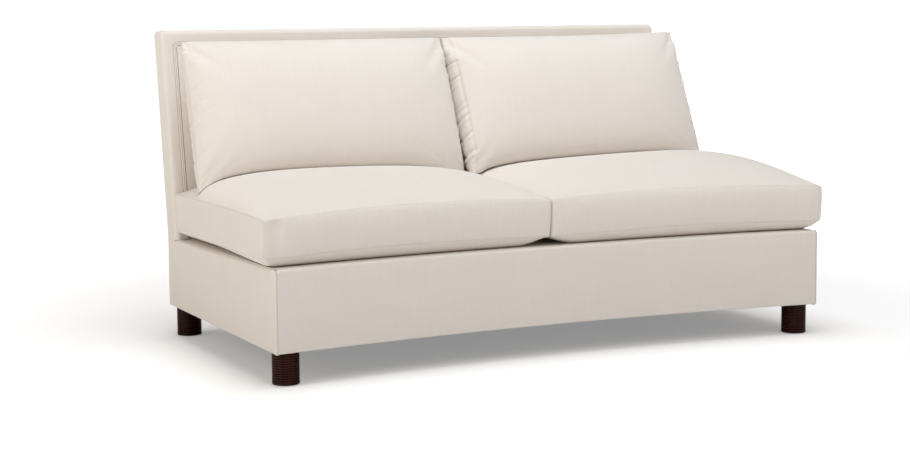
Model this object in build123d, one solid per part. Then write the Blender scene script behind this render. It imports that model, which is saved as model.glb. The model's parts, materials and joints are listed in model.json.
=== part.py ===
"""Armless two-seat sofa with a curved front, loose cushions and ribbed wooden legs.

The frame has +X to the right of a person facing the front, -Y to the front and +Z up.
The origin is under the middle of the sofa, on the floor. All lengths are millimetres.
"""
import os
from math import atan, cos, degrees, hypot, radians, sin, sqrt

from build123d import *

# ---- Driving dimensions ------------------------------------------------------------

# The whole sofa, outside its fabric
sofa_width = 1700
base_depth = 910
sofa_height = 903
front_sag = 63  # how far the middle of the curved front lies behind its ends
back_rake = 91  # how far the top of the back leans out behind the base
back_foot_thickness = 88  # the back from front to rear, at the deck
back_top_thickness = 79

# The base
deck_front_height = 306
deck_rear_height = 292
cover_thickness = 3
corner_radius = 8
top_edge_radius = 7
front_return = 110  # how far the front cover runs back over the deck
side_return = 8.5
side_seam_setback = 24  # from the foot of the back's face to the upright seam in the side
dust_cover_thickness = 1.5
front_rail_thickness = 22
side_rail_thickness = 28
rear_rail_thickness = 22
stretcher_thickness = 22
stretcher_height = 90
stretcher_count = 2
corner_block_size = 120
corner_block_height = 70

# The layers under the seat, from the deck cover down
deck_foam_thickness = 20
insulator_thickness = 2
webbing_thickness = 2
seat_web_width = 60
seat_web_count = 16
cross_web_count = 7

# The legs
leg_height = 89
leg_diameter = 73
leg_inset = 9
rib_count = 12
rib_depth = 2.4
leg_cap_height = 4
glide_thickness = 2
glide_diameter = 24
bolt_diameter = 8
bolt_length = 95
bolt_depth_in_leg = 50
bolt_clearance = 0.1

# The back
border_width = 32
welt_cord_diameter = 5
welt_gap = 0.3
welt_corner_radius = 10
welt_recess = 1.2  # how far the cords lie behind the face of the inside back
border_recess = 1
border_edge_radius = 12
border_corner_radius = 14
panel_edge_radius = 5
panel_corner_radius = 8
back_foam_thickness = 24
back_web_width = 60
back_web_count = 10
back_cross_web_count = 4
post_thickness = 45
top_rail_height = 70
tack_rail_height = 50
tack_rail_lift = 24  # open height between the deck and the tack rail
centre_post_width = 45

# The seat cushions, with heights above the deck
cushion_cover_thickness = 3
seat_setback = 19  # from the base's curved front to the cushion's front seams
seat_low_seam = 32
seat_high_seam = 134
seat_corner_drop = 8  # how much lower the seams lie at the corners
seat_crown = 90
seat_side_crown = 22  # rise of the top panel along the side seams
seat_front_bulge = 12
seat_under_flare = 60
seat_under_bulge = 10
seat_under_lift = 16  # height of the underside at the side seams
seat_front_overhang = 20  # how far the cushion's front corner stands out past the side
seat_rear_overhang = -2
cushion_gap = 2
cushion_squareness = 3.4  # how quickly a cushion fills out from its sides
seat_rear_gap = 1
seat_clearance = 0.7
foam_core_height = 88
foam_core_inset = 26

# The back cushions
back_cushion_length = 453  # from the bottom seam up to the top seam
back_cushion_lean = 22.5  # degrees from upright
back_cushion_foot_inset = 1  # from the sofa's side to the bottom outer corner
back_cushion_head_inset = 15
back_cushion_front_bulge = 98
back_cushion_rear_bulge = 190
back_cushion_shoulder = 88
back_cushion_edge = 12
back_cushion_reach = 228  # from the inside back forward to the bottom seam
cushion_draw = 8  # how far the middle of each side edge is drawn in from its corners
cushion_tip_thickness = 10
top_draw = 6
back_cushion_clearance = 2.2  # over the crown of the seat cushion
back_panel_clearance = 0.3

# The zips of the cushion covers
seat_zip_length = 600
back_zip_length = 400
zip_tape_width = 26
zip_tape_thickness = 0.8
zip_coil_width = 5
zip_coil_height = 1
zip_slider_length = 12
zip_slider_width = 9
zip_slider_height = 2.2
zip_pull_length = 20
zip_pull_width = 6
zip_pull_thickness = 0.8
zip_clearance = 0.3
back_zip_height = 190  # up the back cushion, from the bottom seam

# ---- Values worked out from them -----------------------------------------------------

LEFT, RIGHT = -1, 1
SIDE_NAMES = {LEFT: "left", RIGHT: "right"}
half_width = sofa_width / 2
front_y = -(base_depth + back_rake) / 2
rear_y = front_y + base_depth
back_foot_y = rear_y - back_foot_thickness
side_seam_y = back_foot_y + side_seam_setback
front_radius = (half_width**2 + front_sag**2) / (2 * front_sag)
front_centre_y = front_y + front_sag - front_radius
deck_slope = (deck_rear_height - deck_front_height) / (back_foot_y - front_y)
rake_slope = back_rake / (sofa_height - deck_rear_height)
thickness_loss = back_foot_thickness - back_top_thickness
face_slope = (back_rake + thickness_loss) / (sofa_height - deck_rear_height)
face_angle = degrees(atan(face_slope))
welt_width = 2 * (welt_cord_diameter + welt_gap)
panel_inset = border_width + welt_width

foam_depth = cover_thickness
insulator_depth = foam_depth + deck_foam_thickness
upper_web_depth = insulator_depth + insulator_thickness
lower_web_depth = upper_web_depth + webbing_thickness
side_rail_depth = lower_web_depth + webbing_thickness
frame_bottom = leg_height + dust_cover_thickness
inner_side = half_width - cover_thickness - side_rail_thickness
post_side = half_width - cover_thickness - post_thickness

back_web_depth = cover_thickness + back_foam_thickness
back_upright_depth = back_web_depth + webbing_thickness
back_rail_depth = back_upright_depth + webbing_thickness
frame_top = sofa_height - cover_thickness
frame_corner_radius = border_corner_radius - cover_thickness
border_inner_radius = welt_corner_radius + 0.75 * welt_width
tack_rail_bottom = deck_rear_height + tack_rail_lift
zip_depth = (
    zip_tape_thickness
    + zip_clearance
    + zip_slider_height
    + zip_pull_thickness
    + zip_clearance
)
zip_wall = zip_depth + cushion_cover_thickness
back_cushion_foot = half_width - back_cushion_foot_inset
back_cushion_head = half_width - back_cushion_head_inset


# ---- Helpers ---------------------------------------------------------------------------


def front_line(x, inset):
    """Y of the curved front at a distance x from the middle, some way inside it."""
    return front_centre_y + sqrt((front_radius + inset) ** 2 - x**2)


def deck_height(y, above=0):
    """Height of the sloping deck, or of a level parallel to it."""
    return deck_front_height + deck_slope * (y - front_y) + above


def rear_face(z, inset=0):
    """Y of the rear of the sofa: upright up to the deck, raked above it."""
    return rear_y + max(0, z - deck_rear_height) * rake_slope - inset


def front_face(z, inset=0):
    """Y of the front of the back, or of a layer inside it."""
    return back_foot_y + (z - deck_rear_height) * face_slope + inset


def side_profile(points, x_from, x_to):
    """Prism along X with an outline of (y, z) points."""
    outline = Plane.YZ.offset(x_from) * Polygon(*points, align=None)
    return extrude(outline, x_to - x_from, dir=(1, 0, 0))


def plan_prism(front_inset, side_inset, rear_inset, z_from, z_to):
    """Upright prism with the base's plan: a curved front and three straight sides."""
    x = half_width - side_inset
    y_end = front_line(x, front_inset)
    y_rear = rear_y - rear_inset
    front = ThreePointArc((-x, y_end), (0, front_line(0, front_inset)), (x, y_end))
    sides = Polyline((x, y_end), (x, y_rear), (-x, y_rear), (-x, y_end))
    return Pos(0, 0, z_from) * extrude(make_face([front, sides]), z_to - z_from, dir=(0, 0, 1))


def deck_layer(top_depth, bottom_depth, x_from=-sofa_width, x_to=sofa_width):
    """Sloping slab between two depths below the deck, in front of the back."""
    ends = (front_y - sofa_width, back_foot_y)
    upper = [(y, deck_height(y, -top_depth)) for y in ends]
    lower = [(y, deck_height(y, -bottom_depth)) for y in reversed(ends)]
    return side_profile(upper + lower, x_from, x_to)


def under_deck(depth):
    """Everything below a depth under the deck, level from the back's foot to the rear."""
    far = rear_y + sofa_width
    near = front_y - sofa_width
    level = deck_rear_height - depth
    points = [
        (near, -sofa_height),
        (near, deck_height(near, -depth)),
        (back_foot_y, level),
        (far, level),
        (far, -sofa_height),
    ]
    return side_profile(points, -sofa_width, sofa_width)


def back_slab(x_from, x_to, z_from, z_to, front_inset, rear_inset):
    """Part of the raked back between two layers of it."""
    points = [
        (front_face(z_from, front_inset), z_from),
        (front_face(z_to, front_inset), z_to),
        (rear_face(z_to, rear_inset), z_to),
        (rear_face(z_from, rear_inset), z_from),
    ]
    return side_profile(points, x_from, x_to)


def back_sheet(x_from, x_to, z_from, z_to, outer, inner):
    """Even layer of the back between two depths behind its front face."""
    points = [
        (front_face(z_from, outer), z_from),
        (front_face(z_to, outer), z_to),
        (front_face(z_to, inner), z_to),
        (front_face(z_from, inner), z_from),
    ]
    return side_profile(points, x_from, x_to)


def round_top_corners(block, x, z, radius):
    """Rounds the corners that a block has at a height and a distance from the middle."""
    corners = [e for e in block.edges() if abs(e.center().X) > x - 1 and e.center().Z > z - 1]
    return fillet(corners, radius)


def spread(count, low, high):
    """Middles of equal divisions of a length."""
    pitch = (high - low) / count
    return [low + (i + 0.5) * pitch for i in range(count)]


def leg_centres():
    """Name and (x, y) of each leg."""
    edge = leg_inset + leg_diameter / 2
    x = half_width - edge
    centres = {}
    for side in (LEFT, RIGHT):
        centres[f"front_{SIDE_NAMES[side]}"] = (side * x, front_line(x, edge))
        centres[f"rear_{SIDE_NAMES[side]}"] = (side * x, rear_y - edge)
    return centres


# ---- The wooden frame --------------------------------------------------------------------


def make_front_rail(base_form):
    """Laminated rail that follows the curve of the front."""
    behind = cover_thickness + front_rail_thickness
    outer = plan_prism(0, 0, 0, frame_bottom, sofa_height)
    inner = plan_prism(behind, -sofa_width, -sofa_width, 0, sofa_height)
    return (outer - inner) & base_form & under_deck(lower_web_depth)


def make_side_rail(side):
    """Straight rail from the front rail back to the post."""
    front = cover_thickness + front_rail_thickness
    rear = rear_y - front_face(deck_rear_height, back_upright_depth)
    block = plan_prism(front, cover_thickness, rear, frame_bottom, sofa_height)
    keep = Pos(side * (half_width + inner_side) / 2, 0, 0) * Box(
        half_width - inner_side, 2 * sofa_width, 2 * sofa_height
    )
    return block & keep & under_deck(side_rail_depth)


def make_rear_rail():
    """Rail across the rear of the base, between the posts."""
    y_outer = rear_y - cover_thickness
    top = deck_rear_height - lower_web_depth
    points = [
        (y_outer - rear_rail_thickness, frame_bottom),
        (y_outer - rear_rail_thickness, top),
        (y_outer, top),
        (y_outer, frame_bottom),
    ]
    return side_profile(points, -post_side, post_side)


def make_stretchers():
    """Low boards from the front rail to the rear rail."""
    front = cover_thickness + front_rail_thickness
    rear = cover_thickness + rear_rail_thickness
    top = frame_bottom + stretcher_height
    floor = plan_prism(front, 0, rear, frame_bottom, top)
    pitch = 2 * inner_side / (stretcher_count + 1)
    boards = []
    for i in range(stretcher_count):
        x = -inner_side + (i + 1) * pitch
        strip = Pos(x, 0, 0) * Box(stretcher_thickness, 2 * sofa_width, 2 * sofa_height)
        boards.append((floor & strip).solid())
    return boards


def make_bolt_holes(top):
    """Holes over the middles of the legs, for the bolts, up to a height."""
    hole = Cylinder(bolt_diameter / 2 + bolt_clearance, top - frame_bottom)
    middle = (frame_bottom + top) / 2
    return [Pos(x, y, middle) * hole for x, y in leg_centres().values()]


def make_corner_blocks():
    """Triangular blocks that stiffen the corners and take the front leg bolts."""
    front = cover_thickness + front_rail_thickness
    rear = cover_thickness + rear_rail_thickness
    top = frame_bottom + corner_block_height
    holes = make_bolt_holes(top)
    blocks = []
    for x_side in (LEFT, RIGHT):
        for y_step, wall, y_corner in (
            (1, inner_side, front_line(inner_side, front)),
            (-1, post_side, rear_y - rear),
        ):
            room = plan_prism(front, half_width - wall, rear, frame_bottom, top)
            corner = (x_side * wall, y_corner)
            outline = Polygon(
                corner,
                (corner[0] - x_side * corner_block_size, corner[1]),
                (corner[0], corner[1] + y_step * corner_block_size),
                align=None,
            )
            block = room & extrude(outline, sofa_height, dir=(0, 0, 1))
            for hole in holes:
                block -= hole
            blocks.append(block.solid())
    return blocks


def make_back_post(side):
    """Side post cut in one piece: upright in the base, raked above the deck."""
    y_rear = rear_y - cover_thickness
    y_front = front_face(deck_rear_height, back_upright_depth)
    points = [
        (y_rear, frame_bottom),
        (y_rear, deck_rear_height),
        (rear_face(frame_top, cover_thickness), frame_top),
        (front_face(frame_top, back_upright_depth), frame_top),
        (y_front, deck_rear_height),
        (y_front, frame_bottom),
    ]
    post = side_profile(points, post_side, half_width - cover_thickness)
    post = round_top_corners(post, half_width - cover_thickness, frame_top, frame_corner_radius)
    post = post if side == RIGHT else mirror(post, Plane.YZ)
    for hole in make_bolt_holes(frame_bottom + bolt_length):
        post -= hole
    return post


def make_top_rail():
    """Top rail between the posts."""
    low = frame_top - top_rail_height
    return back_slab(
        -post_side, post_side, low, frame_top, back_rail_depth, cover_thickness
    )


def make_tack_rail():
    """Lower rail of the back, over the slot where the deck cover tucks in."""
    high = tack_rail_bottom + tack_rail_height
    return back_slab(
        -post_side, post_side, tack_rail_bottom, high, back_rail_depth, cover_thickness
    )


def make_centre_post():
    """Post between the tack rail and the top rail."""
    x = centre_post_width / 2
    low = tack_rail_bottom + tack_rail_height
    high = frame_top - top_rail_height
    return back_slab(-x, x, low, high, back_rail_depth, cover_thickness)


# ---- Legs and their hardware ---------------------------------------------------------------


def make_leg(centre):
    """Turned leg: a plain cap and foot with sharp-edged ribs between them."""
    outer = leg_diameter / 2
    inner = outer - rib_depth
    low = glide_thickness + leg_cap_height
    pitch = (leg_height - leg_cap_height - low) / rib_count
    outline = [(0, glide_thickness), (outer, glide_thickness), (outer, low)]
    for i in range(rib_count):
        outline.append((inner, low + i * pitch + pitch / 4))
        outline.append((outer, low + i * pitch + pitch * 3 / 4))
    outline += [(inner, leg_height - leg_cap_height), (outer, leg_height - leg_cap_height)]
    outline += [(outer, leg_height), (0, leg_height)]
    turned = revolve(Plane.XZ * Polygon(*outline, align=None), Axis.Z)
    hole_radius = bolt_diameter / 2 + bolt_clearance
    hole = Pos(0, 0, leg_height - bolt_depth_in_leg / 2) * Cylinder(
        hole_radius, bolt_depth_in_leg
    )
    return Pos(*centre, 0) * (turned - hole)


def make_leg_bolts():
    """Hanger bolts from each leg up into its corner block or its post."""
    middle = leg_height - bolt_depth_in_leg + bolt_length / 2
    return [
        Pos(x, y, middle) * Cylinder(bolt_diameter / 2, bolt_length)
        for x, y in leg_centres().values()
    ]


def make_leg_glides():
    """Flat glides under the legs."""
    glide = Cylinder(glide_diameter / 2, glide_thickness)
    return [Pos(x, y, glide_thickness / 2) * glide for x, y in leg_centres().values()]


# ---- Seat support ----------------------------------------------------------------------------


def make_seat_webbing():
    """Webs from the front rail to the rear rail."""
    room = plan_prism(cover_thickness, 0, cover_thickness, 0, sofa_height)
    reach = rear_y - cover_thickness
    webs = []
    for x in spread(seat_web_count, -post_side, post_side):
        x_from, x_to = x - seat_web_width / 2, x + seat_web_width / 2
        points = [
            (front_y, deck_height(front_y, -upper_web_depth)),
            (back_foot_y, deck_height(back_foot_y, -upper_web_depth)),
            (reach, deck_rear_height - upper_web_depth),
            (reach, deck_rear_height - lower_web_depth),
            (back_foot_y, deck_height(back_foot_y, -lower_web_depth)),
            (front_y, deck_height(front_y, -lower_web_depth)),
        ]
        webs.append((side_profile(points, x_from, x_to) & room).solid())
    return webs


def make_cross_webbing():
    """Webs from side rail to side rail, under the others."""
    edge = half_width - cover_thickness
    front = front_line(0, cover_thickness + front_rail_thickness)
    webs = []
    for y in spread(cross_web_count, front, back_foot_y):
        ends = (y - seat_web_width / 2, y + seat_web_width / 2)
        upper = [(end, deck_height(end, -lower_web_depth)) for end in ends]
        lower = [(end, deck_height(end, -side_rail_depth)) for end in reversed(ends)]
        webs.append(side_profile(upper + lower, -edge, edge))
    return webs


# ---- Covers and padding of the base --------------------------------------------------------


def make_base_form(inset):
    """Rounded outer form of the base, or the form inside its covers."""
    block = plan_prism(inset, inset, inset, leg_height - inset, sofa_height)
    block = block & under_deck(inset)
    front_end = front_line(half_width, 0) + front_sag / 2
    corners = [e for e in block.edges().filter_by(Axis.Z) if e.center().Y < front_end]
    block = fillet(corners, corner_radius - inset)
    lowest = deck_rear_height - inset - 1
    rim = [
        e
        for e in block.edges()
        if e.bounding_box().min.Z > lowest and e.center().Y < back_foot_y - 1
    ]
    return fillet(rim, top_edge_radius - inset)


def make_base_covers():
    """Skin of the base, cut along its seams into front, sides and deck."""
    skin = make_base_form(0) - make_base_form(cover_thickness)
    inside = half_width - cover_thickness
    skin -= Pos(0, back_foot_y + sofa_width, 0) * Box(2 * inside, 2 * sofa_width, sofa_width)
    seam = half_width - side_return
    middle = Box(2 * seam, 3 * sofa_width, 3 * sofa_height)
    behind = plan_prism(front_return, -sofa_width, -sofa_width, 0, sofa_height)
    sides = (skin - middle).solids().sort_by(Axis.X)
    rear_zone = Pos(0, side_seam_y + sofa_width, 0) * Box(
        3 * sofa_width, 2 * sofa_width, 3 * sofa_height
    )
    return {
        "front_cover": (skin & middle) - behind,
        "deck_cover": (skin & middle) & behind,
        "side_cover_left": sides[0] - rear_zone,
        "side_cover_right": sides[-1] - rear_zone,
    }


def make_dust_cover(base_form):
    """Cloth under the frame, with a hole for each leg bolt."""
    sheet = plan_prism(0, 0, cover_thickness, leg_height, frame_bottom) & base_form
    hole = Cylinder(bolt_diameter / 2 + bolt_clearance, 4 * leg_height)
    for x, y in leg_centres().values():
        sheet -= Pos(x, y, 0) * hole
    return sheet


# ---- Padding and covers of the back -----------------------------------------------------------


def make_back_webbing():
    """Upright webs from the tack rail to the top rail."""
    high = frame_top - cover_thickness
    reach = half_width - panel_inset
    return [
        back_sheet(
            x - back_web_width / 2,
            x + back_web_width / 2,
            tack_rail_bottom,
            high,
            back_upright_depth,
            back_rail_depth,
        )
        for x in spread(back_web_count, -reach, reach)
    ]


def make_back_cross_webbing():
    """Level webs from post to post, in front of the upright ones."""
    low = tack_rail_bottom + tack_rail_height
    high = frame_top - top_rail_height
    reach = half_width - panel_inset
    return [
        back_sheet(
            -reach,
            reach,
            z - back_web_width / 2,
            z + back_web_width / 2,
            back_web_depth,
            back_upright_depth,
        )
        for z in spread(back_cross_web_count, low, high)
    ]


def front_rim(block):
    """Side and top edges of the front of a slab of the back."""
    face = min(block.faces(), key=lambda side: side.normal_at().Y)
    return [e for e in face.edges() if e.center().Z > deck_rear_height + 1]


def make_panel_form(depth):
    """Rounded form of the inside back, or of the foam inside its cover."""
    x = half_width - panel_inset - depth
    top = sofa_height - panel_inset - depth
    block = back_sheet(-x, x, deck_rear_height, top, depth, back_web_depth)
    block = round_top_corners(block, x, top, panel_corner_radius - depth)
    return fillet(front_rim(block), panel_edge_radius - depth)


def make_border():
    """Padded band round the top and down the sides of the back, cut at its mitres."""
    block = back_slab(
        -half_width, half_width, deck_rear_height, sofa_height, border_recess, 0
    )
    block = round_top_corners(block, half_width, sofa_height, border_corner_radius)
    block = fillet(front_rim(block), border_edge_radius)
    opening = half_width - border_width
    inner_top = sofa_height - border_width
    room = back_sheet(-opening, opening, 0, inner_top, -sofa_width, back_upright_depth)
    block -= round_top_corners(room, opening, inner_top, border_inner_radius)
    frame = half_width - cover_thickness
    room = back_slab(-frame, frame, 0, frame_top, back_upright_depth, -sofa_width)
    block -= round_top_corners(room, frame, frame_top, frame_corner_radius)
    mitre = Polygon(
        (-half_width - border_width, sofa_height + border_width),
        (half_width + border_width, sofa_height + border_width),
        (opening, inner_top),
        (-opening, inner_top),
        align=None,
    )
    top_zone = extrude(Plane.XZ * mitre, sofa_width, both=True)
    sides = (block - top_zone).solids().sort_by(Axis.X)
    strip = plan_prism(0, 0, 0, leg_height, deck_rear_height) & side_profile(
        [(side_seam_y, 0), (side_seam_y, sofa_height), (rear_y, sofa_height), (rear_y, 0)],
        frame,
        half_width,
    )
    return {
        "back_border_top": block & top_zone,
        "back_border_left": sides[0] + mirror(strip, Plane.YZ),
        "back_border_right": sides[-1] + strip,
    }


def make_welt_batten():
    """Batten behind the welt, which the border and the inside back are fixed to."""
    front = welt_recess + welt_cord_diameter + welt_gap
    outer = half_width - border_width
    inner = half_width - panel_inset
    outer_top = sofa_height - border_width
    inner_top = sofa_height - panel_inset
    batten = back_sheet(
        -outer, outer, deck_rear_height, outer_top, front, back_upright_depth
    )
    batten = round_top_corners(batten, outer, outer_top, border_inner_radius)
    return batten - back_sheet(-inner, inner, 0, inner_top, 0, sofa_width)


def make_welt():
    """Two cords side by side, up one side of the back, across it and down the other."""
    radius = welt_cord_diameter / 2
    depth = welt_recess + radius
    lean = radians(face_angle)
    face = Plane(
        origin=(0, back_foot_y, deck_rear_height),
        x_dir=(1, 0, 0),
        z_dir=(0, -cos(lean), sin(lean)),
    )
    pitch = welt_cord_diameter + welt_gap
    low = (depth + radius) * sin(lean)
    cords = []
    for row in (0, 1):
        inset = border_width + pitch / 2 + row * pitch
        x = half_width - inset
        top = (sofa_height - inset - deck_rear_height + depth * sin(lean)) / cos(lean)
        corner = welt_corner_radius + (1 - row) * pitch
        corners = ((-x, low), (-x, top), (x, top), (x, low))
        path = face.offset(-depth) * FilletPolyline(*corners, radius=corner)
        section = Plane(origin=path @ 0, z_dir=path % 0) * Circle(radius)
        cords.append(sweep(section, path=path).solid())
    return cords


def make_outside_back_cover():
    """Cover of the rear, from the underside of the base to the top of the back."""
    inside = cover_thickness
    points = [
        (rear_y, leg_height),
        (rear_y, deck_rear_height),
        (rear_face(frame_top), frame_top),
        (rear_face(frame_top, inside), frame_top),
        (rear_y - inside, deck_rear_height),
        (rear_y - inside, leg_height),
    ]
    x = half_width - cover_thickness
    return round_top_corners(side_profile(points, -x, x), x, frame_top, frame_corner_radius)


# ---- Cushions -------------------------------------------------------------------------------------


def fullness(share):
    """How full a cushion is, from 0 at its side edges to 1 in the middle."""
    return sqrt(1 - abs(2 * share - 1) ** cushion_squareness)


def cushion_shares():
    """Places of a cushion's cross sections, closer together near its sides."""
    half = (0, 0.04, 0.13, 0.28)
    return half + (0.5,) + tuple(1 - share for share in reversed(half))


def seat_side(y):
    """Distance from the middle of the sofa to a seat cushion's outer side."""
    share = (y - front_y) / (back_foot_y - front_y)
    overhang = seat_front_overhang + share * (seat_rear_overhang - seat_front_overhang)
    return half_width + overhang


def seat_top(x, y):
    """Height of a seat cushion's crown over a place on the deck."""
    outer, inner = seat_side(y), cushion_gap / 2
    share = min(1, max(0, (outer - x) / (outer - inner)))
    front = front_line(x, seat_setback)
    rear = front_face(deck_rear_height + seat_high_seam, -seat_rear_gap)
    along = (y - front) / (rear - front)
    dome = 4 * along * (1 - along)
    full = fullness(share)
    seam = seat_high_seam - seat_corner_drop * (1 - full)
    return deck_height(y, seam) + crown_rise(full) * dome


def crown_rise(full):
    """Rise of a seat cushion's top panel over its seams."""
    return seat_side_crown + (seat_crown - seat_side_crown) * full


def puff(place, start, end, rise):
    """Arc between two points of a cross section, bulging to the left of its travel."""
    length = hypot(end[0] - start[0], end[1] - start[1])
    across = -(end[1] - start[1]) / length * rise
    up = (end[0] - start[0]) / length * rise
    middle = ((start[0] + end[0]) / 2 + across, (start[1] + end[1]) / 2 + up)
    return ThreePointArc(place(start), place(middle), place(end))


def make_seat_form(inset, rear_inset):
    """Right-hand seat cushion, or the form inside its cover, as a loft across it."""
    sections = []
    for share in cushion_shares():
        full = fullness(share)

        def place(point):
            outer = seat_side(point[0]) - inset
            inner = cushion_gap / 2 + inset
            return (outer + share * (inner - outer), point[0], point[1])

        x = place((front_y, 0))[0]
        front = front_line(x, seat_setback + inset)
        low = seat_low_seam + inset / 2
        high = seat_high_seam - seat_corner_drop * (1 - full) - inset / 2
        rear_low, rear_high = deck_rear_height + low, deck_rear_height + high
        gap = seat_rear_gap + rear_inset
        lift = seat_clearance + inset + seat_under_lift * (1 - full)
        heel = front_face(deck_rear_height) - seat_under_flare
        toe = front + seat_under_flare
        corners = [
            (front, deck_height(front, low)),
            (front, deck_height(front, high)),
            (front_face(rear_high, -gap), rear_high),
            (front_face(rear_low, -gap), rear_low),
            (heel, deck_height(heel, lift)),
            (toe, deck_height(toe, lift)),
        ]
        under = seat_under_bulge
        rises = (2 + seat_front_bulge * full, crown_rise(full) - inset / 2, 0, under, 0, under)
        edges = []
        for i, rise in enumerate(rises):
            start, end = corners[i], corners[(i + 1) % len(corners)]
            if rise:
                edges.append(puff(place, start, end, rise))
            else:
                edges.append(Line(place(start), place(end)))
        sections.append(Face(Wire(edges)))
    return loft(sections)


def make_seat_core():
    """Foam slab inside the right-hand seat cushion."""
    middle = (seat_low_seam + seat_high_seam) / 2
    low, high = middle - foam_core_height / 2, middle + foam_core_height / 2
    front = seat_setback + foam_core_inset
    rear = rear_y - back_foot_y + foam_core_inset
    room = plan_prism(front, foam_core_inset, rear, 0, sofa_height)
    start = cushion_gap / 2 + foam_core_inset
    return room & deck_layer(-high, -low, start, half_width)


def back_cushion_place(share, draw, across, climb):
    """Point of a back cushion's cross section, from its seam plane and its foot."""
    lean = radians(back_cushion_lean)
    y_foot, z_foot = back_cushion_seat()
    rise = climb / back_cushion_length
    outer = back_cushion_foot + rise * (back_cushion_head - back_cushion_foot) - draw
    inner = cushion_gap / 2 + draw
    y = y_foot + climb * sin(lean) + across * cos(lean)
    z = z_foot + climb * cos(lean) - across * sin(lean)
    return (outer + share * (inner - outer), y, z)


def back_cushion_low(share, draw):
    """Height along a back cushion at which its bottom seam clears the seat's crown."""
    x, y, z = back_cushion_place(share, draw, 0, 0)
    return (seat_top(x, y) + back_cushion_clearance - z) / cos(radians(back_cushion_lean))


def make_back_form(inset, rear_inset):
    """Right-hand back cushion, or the form inside its cover, as a loft across it."""
    edge = back_cushion_edge / 2 - inset / 2
    draw = cushion_draw + inset
    sections = []
    for share in cushion_shares():
        full = fullness(share)

        def place(point):
            return back_cushion_place(share, draw, *point)

        low = back_cushion_low(share, draw) + inset
        high = back_cushion_length - top_draw * full - inset
        front_bulge = 3 + (back_cushion_front_bulge - 3 - inset) * full
        rear_bulge = 3 + (back_cushion_rear_bulge - 3 - inset) * full
        edges = [
            *bulged_side(place, -1, edge, front_bulge, low, high),
            Line(place((-edge, high)), place((edge, high))),
            *bulged_side(place, 1, edge, rear_bulge, low, high),
            Line(place((edge, low)), place((-edge, low))),
        ]
        sections.append(Face(Wire(edges)))
    form = loft(sections)
    gap = back_panel_clearance + rear_inset
    return form - back_sheet(0, sofa_width, 0, 2 * sofa_height, -gap, sofa_width)


def make_side_tips(share):
    """Thin rim along one side of a back cushion: it runs out to a tip at each corner."""
    low = back_cushion_low(share, cushion_draw) + 1
    high = back_cushion_length - 1
    middle = (low + high) / 2
    root = cushion_draw + 2
    behind = -cushion_tip_thickness / 2
    tips = [back_cushion_place(share, 0, behind, climb) for climb in (low, high)]
    roots = [back_cushion_place(share, root, behind, climb) for climb in (high, low)]
    drawn = back_cushion_place(share, cushion_draw, behind, middle)
    edge = ThreePointArc(tips[0], drawn, tips[1])
    rim = make_face([edge, Polyline(tips[1], *roots, tips[0])])
    lean = radians(back_cushion_lean)
    return extrude(rim, cushion_tip_thickness, dir=(0, cos(lean), -sin(lean)))


def bulged_side(place, side, edge, bulge, low, high):
    """Shoulder, crown and shoulder of one side of a back cushion's cross section."""
    shoulder_out = side * (edge + 0.8 * bulge)
    lower = (shoulder_out, low + back_cushion_shoulder)
    upper = (shoulder_out, high - back_cushion_shoulder)
    middle = (side * (edge + bulge), (low + high) / 2)
    crown = ThreePointArc(place(lower), place(middle), place(upper))
    foot = TangentArc(place(lower), place((side * edge, low)), tangent=-(crown % 0))
    head = TangentArc(place(upper), place((side * edge, high)), tangent=crown % 1)
    return [foot, crown, head]


def back_cushion_seat():
    """Y and Z of the point that a back cushion's height is measured from."""
    y = back_foot_y - back_cushion_reach
    for _ in range(3):
        z = seat_top(back_cushion_foot, y) + back_cushion_clearance
        y = front_face(z) - back_cushion_reach
    return y, z


# ---- Zips -----------------------------------------------------------------------------------------


def zip_plane(x, z, gap):
    """Plane on the rear of a cushion, facing out of it."""
    lean = radians(face_angle)
    return Plane(
        origin=(x, front_face(z, -gap), z), x_dir=(1, 0, 0), z_dir=(0, cos(lean), -sin(lean))
    )


def make_zip(plane, length):
    """Recess, tape with its coil, and slider with its pull at the closed end."""
    start = -length / 2
    floor = -zip_depth
    recess = Pos(0, 0, floor + zip_depth) * Box(
        length + 2 * zip_clearance, zip_tape_width, 2 * zip_depth
    )
    tape_top = floor + zip_tape_thickness
    tape = Pos(0, 0, floor + zip_tape_thickness / 2) * Box(
        length, zip_tape_width, zip_tape_thickness
    )
    coil = Pos(0, 0, tape_top + zip_coil_height / 2) * Box(
        length, zip_coil_width, zip_coil_height
    )
    body_low = tape_top + zip_clearance
    slider = Pos(start + zip_slider_length / 2, 0, body_low + zip_slider_height / 2) * Box(
        zip_slider_length, zip_slider_width, zip_slider_height
    )
    slot = Pos(start, 0, tape_top) * Box(
        3 * zip_slider_length,
        zip_coil_width + 2 * zip_clearance,
        2 * (zip_coil_height + zip_clearance),
    )
    pull_low = body_low + zip_slider_height
    pull = Pos(start + zip_pull_length / 2, 0, pull_low + zip_pull_thickness / 2) * Box(
        zip_pull_length, zip_pull_width, zip_pull_thickness
    )
    return plane * recess, plane * (tape + coil), plane * (slider - slot + pull)


def make_seat_cushion():
    """Cover, fibre wrap, foam core and zip of the right-hand seat cushion."""
    inset = cushion_cover_thickness
    x = (half_width + cushion_gap / 2) / 2
    z = deck_rear_height + (seat_low_seam + seat_high_seam) / 2
    recess, tape, slider = make_zip(zip_plane(x, z, seat_rear_gap), seat_zip_length)
    inner = make_seat_form(inset, zip_wall)
    core = make_seat_core()
    return {
        "seat_cushion_cover": make_seat_form(0, 0) - inner - recess,
        "seat_cushion_wrap": inner - core,
        "seat_cushion_core": core,
        "seat_cushion_zip": tape,
        "seat_cushion_zip_slider": slider,
    }


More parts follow.
